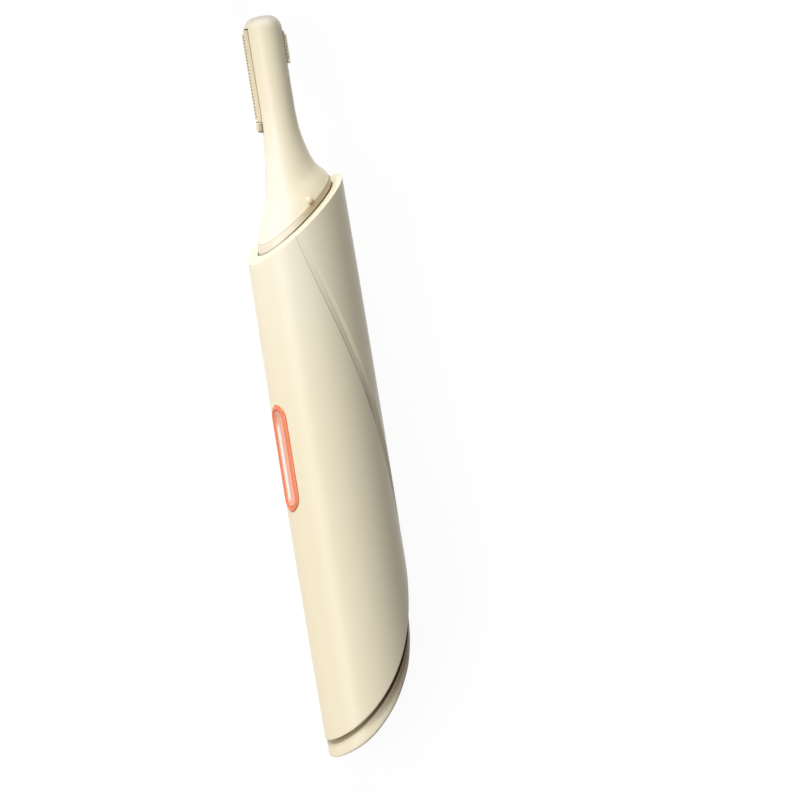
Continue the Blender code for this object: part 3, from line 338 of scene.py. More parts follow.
def creamPlastic(name, lightAndShade=None, colour=(245, 235, 208), warm=(242, 230, 200), roughness=0.3):
    return mouldedPlastic(name, colour, warm, roughness, lightAndShade, IOR=1.38)


# Fine grain: noise scales, the shares of both in the colour, what it takes and adds in roughness, the bump
metal = {
    "metallic": 1.0, "grain": 1400, "harsh": 0.65, "blotch": 160, "shares": (0.55, 0.3),
    "gloss": (0.06, 0.16), "bump": (0.12, 0.00002),
}
matt = {
    "metallic": 0.0, "grain": 2200, "harsh": 0.5, "blotch": 90, "shares": (0.0, 1.0),
    "gloss": (0.05, 0.1), "bump": (0.2, 0.00003),
}


def grained(name, kind, colour, dark, roughness, stretch=None):
    made = Finish(name, colour, roughness, kind["metallic"])
    grain = made.noise(kind["grain"], 3.0, stretch, kind["harsh"])
    grainShare, blotchShare = kind["shares"]
    mixed = grain * grainShare + made.noise(kind["blotch"]) * blotchShare
    less, more = kind["gloss"]
    made.feed("Base Color", made.over(mixed, colour, dark))
    made.feed("Roughness", roughness - less + more * grain)
    made.bump(grain, *kind["bump"])
    return made.material


def shadePaint(made):
    # A shade that the mesh carries for each of its points
    return [(made.node("ShaderNodeAttribute", {"attribute_name": "shade"}, output="Fac"), zones["baseTone"])]


def spreadAt(made):
    along, front, up = made.own()
    return along, (front * front + up * up) ** 0.5


def nibPaintedShade(made):
    # A small painted shadow below each nib, on the flare and the collar
    along, front, up = made.own()
    below, beside = along - zones["nibSpot"][0], front - zones["nibSpot"][1]
    away = (below * below + beside * beside) ** 0.5
    return [painted(made, "nibShade", away, made.ramp(up * up, *zones["offAxis"]))]


def headPaintedLight(made):
    # Painted highlights: a little whiter on the flare's front and at the tip
    along, front, up = made.own()
    rise, lean = zones["toSide"]
    toFront = made.fall(rise * up - lean * front, *zones["flareSide"])
    return [painted(made, "flareHighlight", along, toFront), painted(made, "tip", along, rising=True)] + nibPaintedShade(made)


def combPaintedShade(made):
    # Painted shade in the seams beside the bar and below the comb
    along, spread = spreadAt(made)
    return [painted(made, "barSeamShade", spread), painted(made, "combFootShade", along)]


def blockPaintedShade(made):
    # Painted shade: darker towards the bar, at the block's foot and in its seam beside the bar
    along, spread = spreadAt(made)
    parts = (("blockShade", spread), ("blockFootShade", along), ("blockSeamShade", spread))
    return [painted(made, name, value) for name, value in parts]


def collarPaintedLight(made):
    # Painted highlight, paler at the front, and a painted shadow, a dark seam line where it comes out of the rim
    along, front, _ = made.own()
    level = along + trimmer["rimSlope"] * front
    faded = 1 - zones["seamLoss"] * made.ramp(front, *zones["seamFade"])
    seamShadow = painted(made, "collarSeamShadow", level, made.ramp(level, *zones["seamStart"]) * faded)
    return [painted(made, "collarFrontHighlight", front, rising=True), seamShadow] + nibPaintedShade(made)


finishes = {
    "cream": creamPlastic("creamGloss"),
    "head": creamPlastic("headGloss", headPaintedLight),
    "base": creamPlastic("baseGloss", shadePaint),
    # A paler copy of the cream, a painted highlight on the sleeve's rim face
    "rim": creamPlastic("rimHighlightGloss", None, (249, 243, 219), (247, 239, 213)),
    "comb": creamPlastic("combGloss", combPaintedShade, (238, 226, 196), (230, 217, 186), 0.32),
    "block": creamPlastic("blockGloss", blockPaintedShade, (243, 233, 205), (238, 227, 197), 0.32),
    # A tan darker than the shell's cream, which stands in partly for the shade on the collar's recessed wall
    "tan": mouldedPlastic("tanSatin", (190, 171, 138), (176, 156, 124), 0.34, collarPaintedLight),
    "orange": mouldedPlastic(
        "orangeGloss", (245, 128, 70), (242, 118, 62), 0.16, Coat_Weight=0.4, Coat_Roughness=0.05
    ),
    "steel": grained("platedSteel", metal, (0.62, 0.62, 0.60), (0.42, 0.42, 0.41), 0.28, (1, 0.06, 1)),
    "bladeSteel": grained("bladeSteel", metal, (0.26, 0.24, 0.22), (0.13, 0.12, 0.11), 0.32, (1, 0.05, 1)),
    "brass": grained("turnedBrass", metal, (0.80, 0.62, 0.28), (0.6, 0.43, 0.18), 0.3, (0.08, 1, 1)),
    "whiteResin": grained("whiteResin", matt, tone(228, 228, 220), tone(212, 212, 202), 0.5),
    "darkResin": grained("darkResin", matt, (0.05, 0.05, 0.06), (0.03, 0.03, 0.035), 0.45),
    "gap": grained("gapShade", matt, tone(96, 82, 58), tone(80, 68, 48), 0.6),
    "lead": grained("leadRed", matt, (0.55, 0.05, 0.04), (0.42, 0.03, 0.03), 0.42),
}

pad = {
    "half": 1.6, "highlightLow": (-1.45, -1.15), "highlightHigh": (-0.75, -0.4),
    "highlightStart": (47.2, 48.6), "highlightEnd": (60.8, 62.6), "upperShadeEdge": (1.3, 1.6),
    "middleTone": (251, 172, 142), "sideTone": (247, 142, 102), "sideShare": 0.8, "glowShare": 0.2,
    "highlightTone": (252, 246, 238), "upperShadeTone": (224, 104, 80),
}


def padPlastic():
    # Translucent coral resin, paler along its middle
    made = Finish(
        "coralPad", tone(250, 166, 140), 0.1, Subsurface_Weight=0.35, Subsurface_Scale=0.002,
        Subsurface_Radius=(1.0, 0.45, 0.3), Coat_Weight=0.5, Coat_Roughness=0.04,
    )
    along, _, up = made.own()
    away = up / pad["half"]
    glow = made.noise(120, 2.0, (0.3, 1, 1))
    deeper = away * away * pad["sideShare"] + glow * pad["glowShare"]
    shown = made.over(deeper, tone(*pad["middleTone"]), tone(*pad["sideTone"]))
    # A painted highlight, a white stripe beside its lower edge, and a painted shade, a deeper tone at the other
    # one
    across = made.ramp(up, *pad["highlightLow"]) * made.fall(up, *pad["highlightHigh"])
    paintedHighlight = across * made.ramp(along, *pad["highlightStart"]) * made.fall(along, *pad["highlightEnd"])
    shown = made.over(paintedHighlight, shown, tone(*pad["highlightTone"]))
    shown = made.over(made.ramp(up, *pad["upperShadeEdge"]), shown, tone(*pad["upperShadeTone"]))
    made.feed("Base Color", shown)
    made.feed("Roughness", 0.08 + 0.05 * glow)
    return made.material


def boardFinish():
    # Solder mask with faint tracks beneath it
    made = Finish("boardGreen", (0.02, 0.2, 0.085), 0.35)
    tracks = made.node("ShaderNodeTexBrick", {"offset": 0.5}, {"Vector": made.place(), "Scale": 260.0}, "Fac")
    made.feed("Base Color", made.over(tracks, (0.018, 0.17, 0.075), (0.03, 0.28, 0.12)))
    made.feed("Roughness", 0.3 + 0.08 * made.noise(700))
    made.bump(tracks, 0.2, 0.00003)
    return made.material


def cellFinish(bandStart=58.0, steelStart=68.8):
    # Printed film round the cell: two plain tones, and steel at its end
    made = Finish("cellFilm", (0.1, 0.16, 0.34), 0.25)
    along = made.own()[0]
    band, end = (along.step("GREATER_THAN", along, start) for start in (bandStart, steelStart))
    film = made.over(band, (0.08, 0.13, 0.32), (0.5, 0.36, 0.16))
    made.feed("Base Color", made.over(end, film, (0.6, 0.6, 0.58)))
    made.feed("Metallic", end)
    made.feed("Roughness", 0.2 + 0.08 * made.noise(300))
    return made.material


finishes["pad"] = padPlastic()
finishes["board"] = boardFinish()
finishes["cell"] = cellFinish()
print("finishes ready:", len(finishes))


# Mesh helpers

def pieceFrom(name, points, faces, finish=None, soft=True, sharp=None, weld=0.0000002):
    mesh = bpy.data.meshes.new(name)
    mesh.from_pydata([tuple(point) for point in points], [], faces)
    work = bmesh.new()
    work.from_mesh(mesh)
    bmesh.ops.remove_doubles(work, verts=work.verts, dist=weld)
    bmesh.ops.recalc_face_normals(work, faces=work.faces)
    if work.calc_volume(signed=True) < 0:
        bmesh.ops.reverse_faces(work, faces=work.faces)
    work.to_mesh(mesh)
    work.free()
    if soft:
        mesh.shade_smooth()
    if sharp:
        mesh.set_sharp_from_angle(angle=radians(sharp))
    mesh.materials.append(finish)
    return pieceOf(name, mesh)


def plainMesh(piece):
    # The piece's mesh with its modifiers worked in
    bpy.context.view_layer.update()
    graph = bpy.context.evaluated_depsgraph_get()
    return bpy.data.meshes.new_from_object(piece.evaluated_get(graph))


def skin(rings, cyclic=False, lowPoint=None, highPoint=None, ends=(False, False)):
    # Faces over a stack of rings that have as many points each
    count, top = len(rings[0]), (len(rings) - 1) * len(rings[0])
    points = [point for ring in rings for point in ring]
    pairs = [(n, (n + 1) % len(rings)) for n in range(len(rings) if cyclic else len(rings) - 1)]
    steps = [(n, (n + 1) % count) for n in range(count)]
    faces = []
    for low, high in pairs:
        low, high = low * count, high * count
        faces += [(low + n, low + m, high + m, high + n) for n, m in steps]
    if lowPoint is not None:
        points.append(lowPoint)
        faces += [(m, n, len(points) - 1) for n, m in steps]
    if highPoint is not None:
        points.append(highPoint)
        faces += [(top + n, top + m, len(points) - 1) for n, m in steps]
    if ends[0]:
        faces.append(tuple(reversed(range(count))))
    if ends[1]:
        faces.append(tuple(top + n for n in range(count)))
    return points, faces


def cutCleanly(piece, cutters, finish, near=0.000004, alike=0.5):
    # Cuts the piece, then gives each point of its old surface the shading that it had before the cut
    old = piece.data
    old.calc_loop_triangles()
    corners = [vert.co.copy() for vert in old.vertices]
    normals = [vert.normal.copy() for vert in old.vertices]
    triangles = [tuple(tri.vertices) for tri in old.loop_triangles]
    tree = BVHTree.FromPolygons(corners, triangles)
    for cutter in cutters:
        step = piece.modifiers.new("cut", "BOOLEAN")
        step.operation = "DIFFERENCE"
        step.object = cutter
    fresh = plainMesh(piece)
    piece.modifiers.clear()
    piece.data = fresh
    remove(*cutters)
    found = {}
    for vert in fresh.vertices:
        spot, _, index, away = tree.find_nearest(vert.co)
        if away < near:
            trio = triangles[index]
            shares = poly_3d_calc([corners[n] for n in trio], spot)
            found[vert.index] = sum((normals[n] * share for n, share in zip(trio, shares)), Vector()).normalized()
    loops = [None] * len(fresh.loops)
    fresh.materials.clear()
    fresh.materials.append(finish)
    fresh.materials.append(finishes["gap"])
    for polygon in fresh.polygons:
        kept = all(index in found for index in polygon.vertices)
        kept = kept and all(found[index].dot(polygon.normal) > alike for index in polygon.vertices)
        # Faces of the cut's new walls take the darker gap finish, a painted shade in the slots and the window
        polygon.material_index = 0 if kept else 1
        for loop in polygon.loop_indices:
            loops[loop] = found[fresh.loops[loop].vertex_index] if kept else polygon.normal.copy()
    fresh.shade_smooth()
    fresh.normals_split_custom_set(loops)


def together(*parts):
    # The points and faces of several shells as one piece's
    points, faces = [], []
    for morePoints, moreFaces in parts:
        faces += [tuple(len(points) + n for n in face) for face in moreFaces]
        points += morePoints
    return points, faces


def slotBox(alongs, fronts, half):
    corners = [placeTurned(along, front, up) for along in alongs for front in fronts for up in (-half, half)]
    faces = [(0, 1, 3, 2), (4, 6, 7, 5), (0, 4, 5, 1), (2, 3, 7, 6), (0, 2, 6, 4), (1, 5, 7, 3)]
    return pieceFrom("slot", corners, faces, soft=False)


def slotRod(along, up, radius, reach, sides=24):
    rings = []
    for front in reach:
        spots = [(radius * cos(turn), radius * sin(turn)) for turn in turnsRound(sides)]
        rings.append([placeTurned(along + ahead, front, up + over) for ahead, over in spots])
    return pieceFrom("slot", *skin(rings, ends=(True, True)), soft=False)


def settle(piece, body, slot, *replaced):
    if replaced:
        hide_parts(*replaced)
    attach(piece, body)


# Outer sleeve with the wound crease

sleeve = {
    "rows": 210, "innerRows": 18, "edge": 0.2, "innerEdge": 0.08, "edgeSteps": 4,
    "fineTurns": (-1.6, -1.0, -0.6, -0.3, 0, 0.3), "fineStep": 0.36, "fineColumns": 41, "columns": 205,
    "creaseSide": 77.3, "creaseTop": 118.0, "creaseBottom": 38.0, "creaseDepth": 0.7, "creaseFade": 3.4,
    "creaseStart": 92.2, "creaseTurn": 146.5, "creaseBend": -179.5,
    "creaseWidth": 9.0, "creaseWidening": 5.5, "creaseWall": 0.6,
    "rimBand": 0.1, "unwindAt": 43.0, "mouthOval": 0.81, "mouthShare": 1 / 6, "guess": (20.0, 98.0), "tries": 40,
    # Its painted highlight and shade: spans in mm, then in degrees round from the crisp edge
    "highlightFront": (-2.0, 7.0), "paintLow": (42.0, 46.0), "lineLower": (56.0, 70.0), "lineUpper": (70.0, 96.0),
    "shadeStart": (-0.2, 0.8), "shadeEnd": (5.5, 8.0), "lineStart": (-0.5, 0.2), "lineShares": (0.85, 0.35, 0.3),
}


def creaseSpan(along, start):
    return (start - along) / (sleeve["creaseTop"] - sleeve["creaseBottom"])


def creaseDegrees(along):
    # Takes a number, or a shader's value
    away = creaseSpan(along, sleeve["creaseSide"])
    return sleeve["creaseStart"] + sleeve["creaseTurn"] * away + sleeve["creaseBend"] * away ** 3


def creaseAngle(along):
    return radians(creaseDegrees(along))


def creaseDip(turn, along):
    # Depth of the crease, a turn round from its crisp edge: a long slope down, then a shorter rise
    progress = min(max(creaseSpan(along, sleeve["creaseTop"]), 0), 1)
    depth = sleeve["creaseDepth"] * sin(pi * progress ** sleeve["creaseFade"])
    width = radians(sleeve["creaseWidth"] + sleeve["creaseWidening"] * progress)
    wall = width * sleeve["creaseWall"]
    turn = (turn + pi) % (2 * pi) - pi
    if turn <= 0 or turn >= width:
        return 0
    return depth * (turn / wall if turn < wall else (width - turn) / (width - wall))


def creasePaintedLight(made):
    # Painted highlight, whiter towards the rim and the front; a painted dark shade line at the crisp edge, and
    # painted shade low down in the crease
    along, front, up = made.own()
    angle = up.step("ARCTAN2", up / trimmer["oval"], front) * (180 / pi)
    turn = angle - creaseDegrees(along)
    ramp, low = made.ramp, made.ramp(along, *sleeve["paintLow"])
    inside = ramp(turn, *sleeve["shadeStart"]) * made.fall(turn, *sleeve["shadeEnd"])
    most, lower, upper = sleeve["lineShares"]
    faded = most - lower * ramp(along, *sleeve["lineLower"]) - upper * ramp(along, *sleeve["lineUpper"])
    return [
        painted(made, "whiterHighlight", along, ramp(front, *sleeve["highlightFront"]), rising=True),
        painted(made, "creaseShade", along, inside * low),
        painted(made, "creaseShadeLine", turn, ramp(turn, *sleeve["lineStart"]) * low * faded),
    ]


def wound(turn, along):
    return turn + creaseAngle(max(along, sleeve["unwindAt"]))


def makeSleeve():
    # Narrow columns over the crease, wide ones for the rest of the way round
    fine = list(sleeve["fineTurns"])
    fine += [fine[-1] + sleeve["fineStep"] * n for n in range(1, sleeve["fineColumns"] + 1)]
    rest = sleeve["columns"]
    turns = fine + [fine[-1] + (360 + fine[0] - fine[-1]) * n / rest for n in range(1, rest)]
    edge, inner, steps = sleeve["edge"], sleeve["innerEdge"], sleeve["edgeSteps"]
    bore, oval, mouth = trimmer["bore"], trimmer["oval"], sleeve["mouthOval"]
    columns = []
    for turn in [radians(away) for away in turns]:
        low, high = sleeve["guess"]
        for _ in range(sleeve["tries"]):  # settles on the places where the column meets the heel and the rim
            lowTurn = wound(turn, low)
            low = heelAt((handleHalf(low) - creaseDip(turn, low)) * cos(lowTurn))
            highTurn = wound(turn, high)
            high = rimAt((handleHalf(high) - creaseDip(turn, high)) * cos(highTurn))
        column = []

        def add(along, angle, half, flat=oval):
            column.append(place(along, half * cos(angle), half * flat * sin(angle)))

        for row in range(sleeve["rows"] + 1):
            along = low + edge + (high - low - 2 * edge) * row / sleeve["rows"]
            if along < sleeve["unwindAt"]:
                angle = lowTurn
                dip = creaseDip(angle - creaseAngle(along), along)
            else:
                angle = wound(turn, along)
                dip = creaseDip(turn, along)
            add(along, angle, handleHalf(along) - dip)
        outer = handleHalf(high) - creaseDip(turn, high)

        def addEdge(endAt, turn, half, lift, flat=oval):
            add(endAt(half * cos(turn)) + lift, turn, half, flat)

        for across, short in rounding(steps, 1):  # outer, then inner edge of the rim
            addEdge(rimAt, highTurn, outer - edge * across, -edge * short)
        for across, short in rounding(steps):
            addEdge(rimAt, highTurn, bore + inner * short, -inner * across, mouth)
        top = rimAt(bore * cos(highTurn)) - inner
        bottom = heelAt(bore * cos(lowTurn)) + edge
        for row in range(1, sleeve["innerRows"]):
            share = row / sleeve["innerRows"]
            angle = highTurn + (lowTurn - highTurn) * share
            flat = oval + (mouth - oval) * max(1 - share / sleeve["mouthShare"], 0)
            add(top + (bottom - top) * share, angle, bore, flat)
        for across, short in reversed(rounding(steps)):  # inner, then outer edge of the heel
            addEdge(heelAt, lowTurn, bore + edge * short, edge * across)
        for across, short in reversed(rounding(steps, 1)):
            addEdge(heelAt, lowTurn, handleHalf(low) - edge * across, edge * short)
        columns.append(column)
    return pieceFrom("sleeveShell", *skin(list(zip(*columns)), cyclic=True), finishes["sleeve"])


def paintRimHighlight(piece):
    # Painted highlight: the rim's face takes a paler copy of the cream
    piece.data.materials.append(finishes["rim"])
    for polygon in piece.data.polygons:
        along, front, _ = ownPlace(polygon.center)
        if along > rimAt(front) - sleeve["rimBand"]:
            polygon.material_index = 2


# Button and its rim

button = {
    "along": 55.5, "length": 19.7, "width": 5.3, "rim": 0.85, "proud": 0.25, "rimRoot": -0.02,
    "gap": 0.12, "skirt": -1.5, "waist": -0.3, "rimSteps": 8, "rimFullness": 0.7, "steps": 14,
    "window": (-0.08, -3.2, 3.0),
    # The pad's inset past the gap and its height, from the skirt to the sunken middle
    "padSides": (
        (0, -1.6), (0, -0.5), (0, -0.05), (0.02, 0.02), (0.06, 0.05), (0.12, 0.04), (0.2, -0.02),
        (0.34, -0.15), (0.5, -0.28), (0.66, -0.36), (0.85, -0.4), (1.1, -0.42),
    ),
    "padMiddle": ((0.25, -0.43), (0.02, -0.43)),
}


def pillRing(inset, height):
    # A pill-shaped ring that lies at a height over the handle's curved front
    radius = button["width"] / 2 - inset
    straight = button["length"] / 2 - button["width"] / 2
    ring = []
    for end, n in [(end, n) for end in (1, -1) for n in range(button["steps"] + 1)]:
        turn = pi * (n / button["steps"] - 0.5)
        along = button["along"] + end * (straight + radius * cos(turn))
        up = end * radius * sin(turn)
        half = handleHalf(along)
        front = half * sqrt(max(1 - (up / (half * trimmer["oval"])) ** 2, 0))
        ring.append(place(along, front + height, up))
    return ring


def pillPiece(name, profile, finish=None, closed=False, soft=True):
    rings = [pillRing(inset, height) for inset, height in profile]
    return pieceFrom(name, *skin(rings, cyclic=closed, ends=(not closed, not closed)), finish, soft)


def makeButton():
    rim, root, skirt = button["rim"], button["rimRoot"], button["skirt"]
    profile = [(0, skirt), (0, button["waist"]), (0, root)]
    for n in range(1, button["rimSteps"]):
        bend = pi * n / button["rimSteps"]
        rise = (button["proud"] - root) * sin(bend) ** button["rimFullness"]
        profile.append((rim / 2 * (1 - cos(bend)), root + rise))
    profile += [(rim, 0.0), (rim, button["waist"]), (rim, skirt)]
    bezel = pillPiece("buttonRim", profile, finishes["orange"], closed=True)
    start, inner = rim + button["gap"], button["width"] / 2
    profile = [(start + inset, height) for inset, height in button["padSides"]]
    profile += [(inner - inset, height) for inset, height in button["padMiddle"]]
    inset, low, high = button["window"]
    window = pillPiece("window", [(inset, low), (inset, high)], soft=False)
    return bezel, pillPiece("buttonPad", profile, finishes["pad"]), window


finishes["sleeve"] = creamPlastic("sleeveGloss", creasePaintedLight)
sleeveShell = makeSleeve()
buttonRim, buttonPad, window = makeButton()
cutCleanly(sleeveShell, [window], finishes["sleeve"])
paintRimHighlight(sleeveShell)
settle(sleeveShell, "handle", "cream_shell", "outer_sleeve")
settle(buttonRim, "handle", "orange_rim", "button_bezel")
settle(buttonPad, "button", "coral_pad", "power_button")
print("sleeve and button ready:", len(sleeveShell.data.polygons), "faces")


# Base cap

base = {
    "groove": 1.05, "depth": 4.25, "frontInset": 0.3, "backInset": 0.9, "backStart": 0.4, "fillet": 0.7,
    "toe": 0.6, "toeStart": 4.4, "lip": 0.2, "columns": 180,
    # The plug's rows: share of its width, and place along where that doesn't follow the heel
    "plugRows": ((0.98, None), (1.0, None), (1.0, 23.4), (0.97, 23.8)),
    "plugStart": 23.2, "plugBack": -7.2, "plugColumns": 96,
    # The shade below the groove and at the lower edge, in shares of the face's depth and half width
    "shadeSide": 0.45, "shadeReach": 1.15, "shadeLeast": 0.12, "shadeFaint": 0.35,
    "edgeSide": (0.1, 0.75), "edgeStart": 0.8, "edgeRise": 0.3, "edgeOut": (0.86, 0.93), "edgeFaint": 0.6,
}


def toeLift(front):
    share = min(max((front - base["toeStart"]) / (trimmer["endHalf"] - base["toeStart"]), 0), 1)
    return base["toe"] * share * share * (2 - share)


def heelRing(inset, shift, share=1.0):
    # A little inside the sleeve, more so at the back; the underside rises at the toe
    lifted = max((-shift - base["groove"]) / (base["depth"] - base["groove"]), 0)

    def half(turn):
        flush = handleHalf(heelAt(trimmer["endHalf"] * cos(turn)) + shift)
        toBack = min(max(-cos(turn) - base["backStart"], 0) / base["backStart"], 1)
        slip = base["frontInset"] * max(cos(turn), 0) + base["backInset"] * toBack
        return (flush - slip - inset) * share

    def along(front):
        return heelAt(front) + shift + lifted * toeLift(front)

    return ovalRing(base["columns"], half, along, trimmer["oval"])


def shadeBase(mesh):
    # Soft shade below the groove, wider towards the back and top, and round the lower edge
    shade = mesh.attributes.new("shade", "FLOAT", "POINT")
    rise, lean = zones["toSide"]
    faint, edgeFaint = base["shadeFaint"], base["edgeFaint"]
    for vert in mesh.vertices:
        along, front, up = ownPlace(vert.co)
        depth = (heelAt(front) - base["groove"] - along) / (base["depth"] - base["groove"])
        side = (rise * up - lean * front) / trimmer["endHalf"]
        wide = min(max(side + base["shadeSide"], 0), 1)
        fade = ease(depth, 0, max(base["shadeReach"] * wide, base["shadeLeast"]))
        belowGroove = (1 - fade) * (faint + (1 - faint) * wide)
        outward = hypot(front, up / trimmer["oval"]) / trimmer["endHalf"]
        toRight = ease(side, *base["edgeSide"])
        lowerEdge = ease(depth, base["edgeStart"] - base["edgeRise"] * toRight, 1)
        lowerEdge *= ease(outward, *base["edgeOut"])
        shade.data[vert.index].value = max(belowGroove, lowerEdge * (edgeFaint + (1 - edgeFaint) * toRight))


def plugRing(share, along):
    # Starts within the cap and keeps clear of its underside at the back
    half, middle = trimmer["plug"] * share, 0.5 * (base["groove"] + base["depth"])
    ring = []
    for turn in turnsRound(base["plugColumns"]):
        front = max(half * cos(turn), base["plugBack"])
        start = min(heelAt(front) - middle, base["plugStart"])
        ring.append(place(along or start, front, half * trimmer["oval"] * sin(turn)))
    return ring


def makeBase():
    fillet, depth, groove, lip = (base[key] for key in ("fillet", "depth", "groove", "lip"))
    shares = [n / 16 for n in range(1, 16)]
    rings = [heelRing(fillet, -depth, share) for share in shares]
    rings += [heelRing(fillet * short, fillet * across - depth) for across, short in rounding(8)]
    low = fillet - depth
    rings += [heelRing(0, low + (-groove - lip - low) * share) for share in (0.25, 0.5, 0.75)]
    rings += [heelRing(lip * across, -groove - lip * short) for across, short in rounding(5)]
    rings += [heelRing(lip, -groove, share) for share in reversed(shares)]
    lowPoint, highPoint = (place(heelAt(0) - away, 0, 0) for away in (depth, groove))
    shell = skin(rings, lowPoint=lowPoint, highPoint=highPoint)
    plug = skin([plugRing(*row) for row in base["plugRows"]], ends=(True, True))
    made = pieceFrom("baseShell", *together(shell, plug), finishes["base"], sharp=50)
    shadeBase(made.data)
    return made


settle(makeBase(), "base", "cream_shell", "base_cap")


# Head: collar, flare and bar

head = {
    "wall": 1.2, "bar": 3.2, "half": 7.7, "base": 100.35, "length": 18.0, "shoulder": 133.7, "top": 136.45,
    "columns": 180, "rings": 84, "barRings": 11, "dome": 40, "domeFullness": 0.7,
    "oval": 0.82, "seat": 0.14, "seatInset": 0.03,
    "browLead": 0.5, "browLow": 134.35, "browHigh": 136.36, "browReach": 3.8, "browRoot": 1.0,
    "browFull": 8.0, "browEnd": 20.0,  # degrees round from the comb
    "collarBottom": 91.0, "collarTop": 100.2, "collarHalf": 7.9, "collarOval": 0.805, "collarWall": 1.1,
    "collarEdge": 0.06, "collarRow": 1.0, "collarColumns": 144,
    "nibAlong": 101.5, "nibFront": -0.3, "nibRadius": 0.58, "nibLift": 0.12,
    # Slots for the combs and the end block: along, front and half width; then the rod at the long one's end
    "slots": (
        ((116.8, 134.35), (1.6, 9.0), 0.75), ((114.95, 117.1), (1.6, 9.0), 0.9),
        ((126.95, 133.35), (-9.0, -1.6), 0.75),
    ),
    "slotEnd": (134.3, 0.75, 0.24, (2.4, 5.0)),
    # Up the flare: the way up, then the shares of its width and slope that are left
    "shares": (
        (0.0, 1.0, 1.0), (0.055, 0.915, 0.99), (0.108, 0.817, 0.97), (0.183, 0.640, 0.96),
        (0.245, 0.507, 0.95), (0.306, 0.413, 0.93), (0.4, 0.304, 0.88), (0.506, 0.217, 0.76),
        (0.61, 0.141, 0.58), (0.711, 0.087, 0.38), (0.822, 0.039, 0.15), (1.0, 0.0, 0.0),
    ),
}


def flareAt(share):
    # Width and slope shares part of the way up the flare, through the table's rows on a smooth curve
    rows = head["shares"]
    n = max(index for index, row in enumerate(rows[:-1]) if row[0] <= share)
    low, high = rows[n], rows[n + 1]
    before, after = rows[max(n - 1, 0)], rows[min(n + 2, len(rows) - 1)]
    span = high[0] - low[0]
    t = (share - low[0]) / span
    result = []
    for k in (1, 2):
        startSlope = (high[k] - before[k]) / max(high[0] - before[0], 1e-6) * span
        endSlope = (after[k] - low[k]) / max(after[0] - low[0], 1e-6) * span
        value = (2 * t ** 3 - 3 * t ** 2 + 1) * low[k] + (t ** 3 - 2 * t ** 2 + t) * startSlope
        result.append(value + (3 * t ** 2 - 2 * t ** 3) * high[k] + (t ** 3 - t ** 2) * endSlope)
    return result


def slantedRing(middle, slope, half, flat, columns=head["columns"]):
    return ovalRing(columns, half, lambda front: middle - slope * front, flat)


def browReach(along, turn):
    # Reach of the brow over the long comb's top, at a turn round from the front
    span = head["browHigh"] - head["browLow"]
    share = min(max((along - head["browLow"]) / span, 0), 1)
    reach = head["browRoot"] + (head["browReach"] - head["browRoot"]) * sqrt(1 - share ** 2)
    away = abs((degrees(turn) - trimmer["combTurn"] + 180) % 360 - 180)
    fade = 1 - ease(away, head["browFull"], head["browEnd"])
    return reach, fade * ease(along, head["browLow"] - head["browLead"], head["browLow"])


def domeRing(along, half):
    def wide(turn):
        reach, share = browReach(along, turn)
        return half + max(reach - half, 0) * share

    return ovalRing(head["columns"], wide, lambda front: along)


def makeHead():
    half, oval, bar, low = head["half"], head["oval"], head["bar"], head["seatInset"]
    seat = head["base"] - head["seat"]
    rings = [slantedRing(seat, trimmer["rimSlope"], wide, oval) for wide in (half - head["wall"], half - low)]
    for n in range(head["rings"] + 1):
        share = n / head["rings"]
        width, slope = flareAt(share)
        along = head["base"] + head["length"] * share - (head["seat"] - low if n == 0 else 0)
        flat = 1 - (1 - oval) * width
        rings.append(slantedRing(along, trimmer["rimSlope"] * slope, bar + (half - bar) * width, flat))
    start, count = head["base"] + head["length"], head["barRings"]
    for n in range(1, count + 1):
        rings.append(slantedRing(start + (head["shoulder"] - start) * n / count, 0, bar, 1))
    rise = head["top"] - head["shoulder"]
    for n in range(1, head["dome"]):
        bend = pi / 2 * n / head["dome"]
        half = bar * cos(bend) ** head["domeFullness"]
        rings.append(domeRing(head["shoulder"] + rise * sin(bend), half))
    skinned = skin(rings, highPoint=place(head["top"], 0, 0), ends=(True, False))
    shell = pieceFrom("headShell", *skinned, finishes["head"])
    frontSlot, blockSlot, backSlot = (slotBox(*slot) for slot in head["slots"])
    cutCleanly(shell, [frontSlot, blockSlot, slotRod(*head["slotEnd"]), backSlot], finishes["head"])
    return shell


def makeNibs():
    share = (head["nibAlong"] - head["base"]) / head["length"]
    width = flareAt(share)[0]
    seat = (head["bar"] + (head["half"] - head["bar"]) * width) * (1 - (1 - head["oval"]) * width)
    work = bmesh.new()
    for side in (1, -1):
        spot = Matrix.Translation(place(head["nibAlong"], head["nibFront"], side * (seat + head["nibLift"])))
        bmesh.ops.create_uvsphere(work, u_segments=28, v_segments=18, radius=head["nibRadius"] * mm, matrix=spot)
    mesh = bpy.data.meshes.new("headNibs")
    work.to_mesh(mesh)
    work.free()
    mesh.shade_smooth()
    mesh.materials.append(finishes["cream"])
    return pieceOf("headNibs", mesh)


def makeCollar():
    low, top, slope = head["collarBottom"], head["collarTop"], trimmer["rimSlope"]
    half, edge, row = head["collarHalf"], head["collarEdge"], head["collarRow"]
    inner = half - head["collarWall"]

    def ring(along, width, lean=slope):
        return slantedRing(along, lean, width, head["collarOval"], head["collarColumns"])

    rings = [ring(low, half - edge, 0), ring(low + edge, half, 0)]
    for share in (0.2, 0.4, 0.6, 0.8):
        rings.append(ring(low + edge + (top - low - 2 * edge) * share, half, slope * share))
    rings += [ring(top - edge * short, half - edge * across) for across, short in rounding(4)]
    rings += [ring(top, inner), ring(top - row, inner), ring(low + row, inner, 0), ring(low, inner, 0)]
    return pieceFrom("collarRing", *skin(rings, cyclic=True), finishes["tan"], sharp=40)


settle(makeHead(), "head", "cream_shell", "head_shell")
settle(makeNibs(), "head", "cream_shell")
settle(makeCollar(), "head", "tan_collar", "head_collar")
print("head ready")


# Toothed combs and blades, their teeth from one node tree

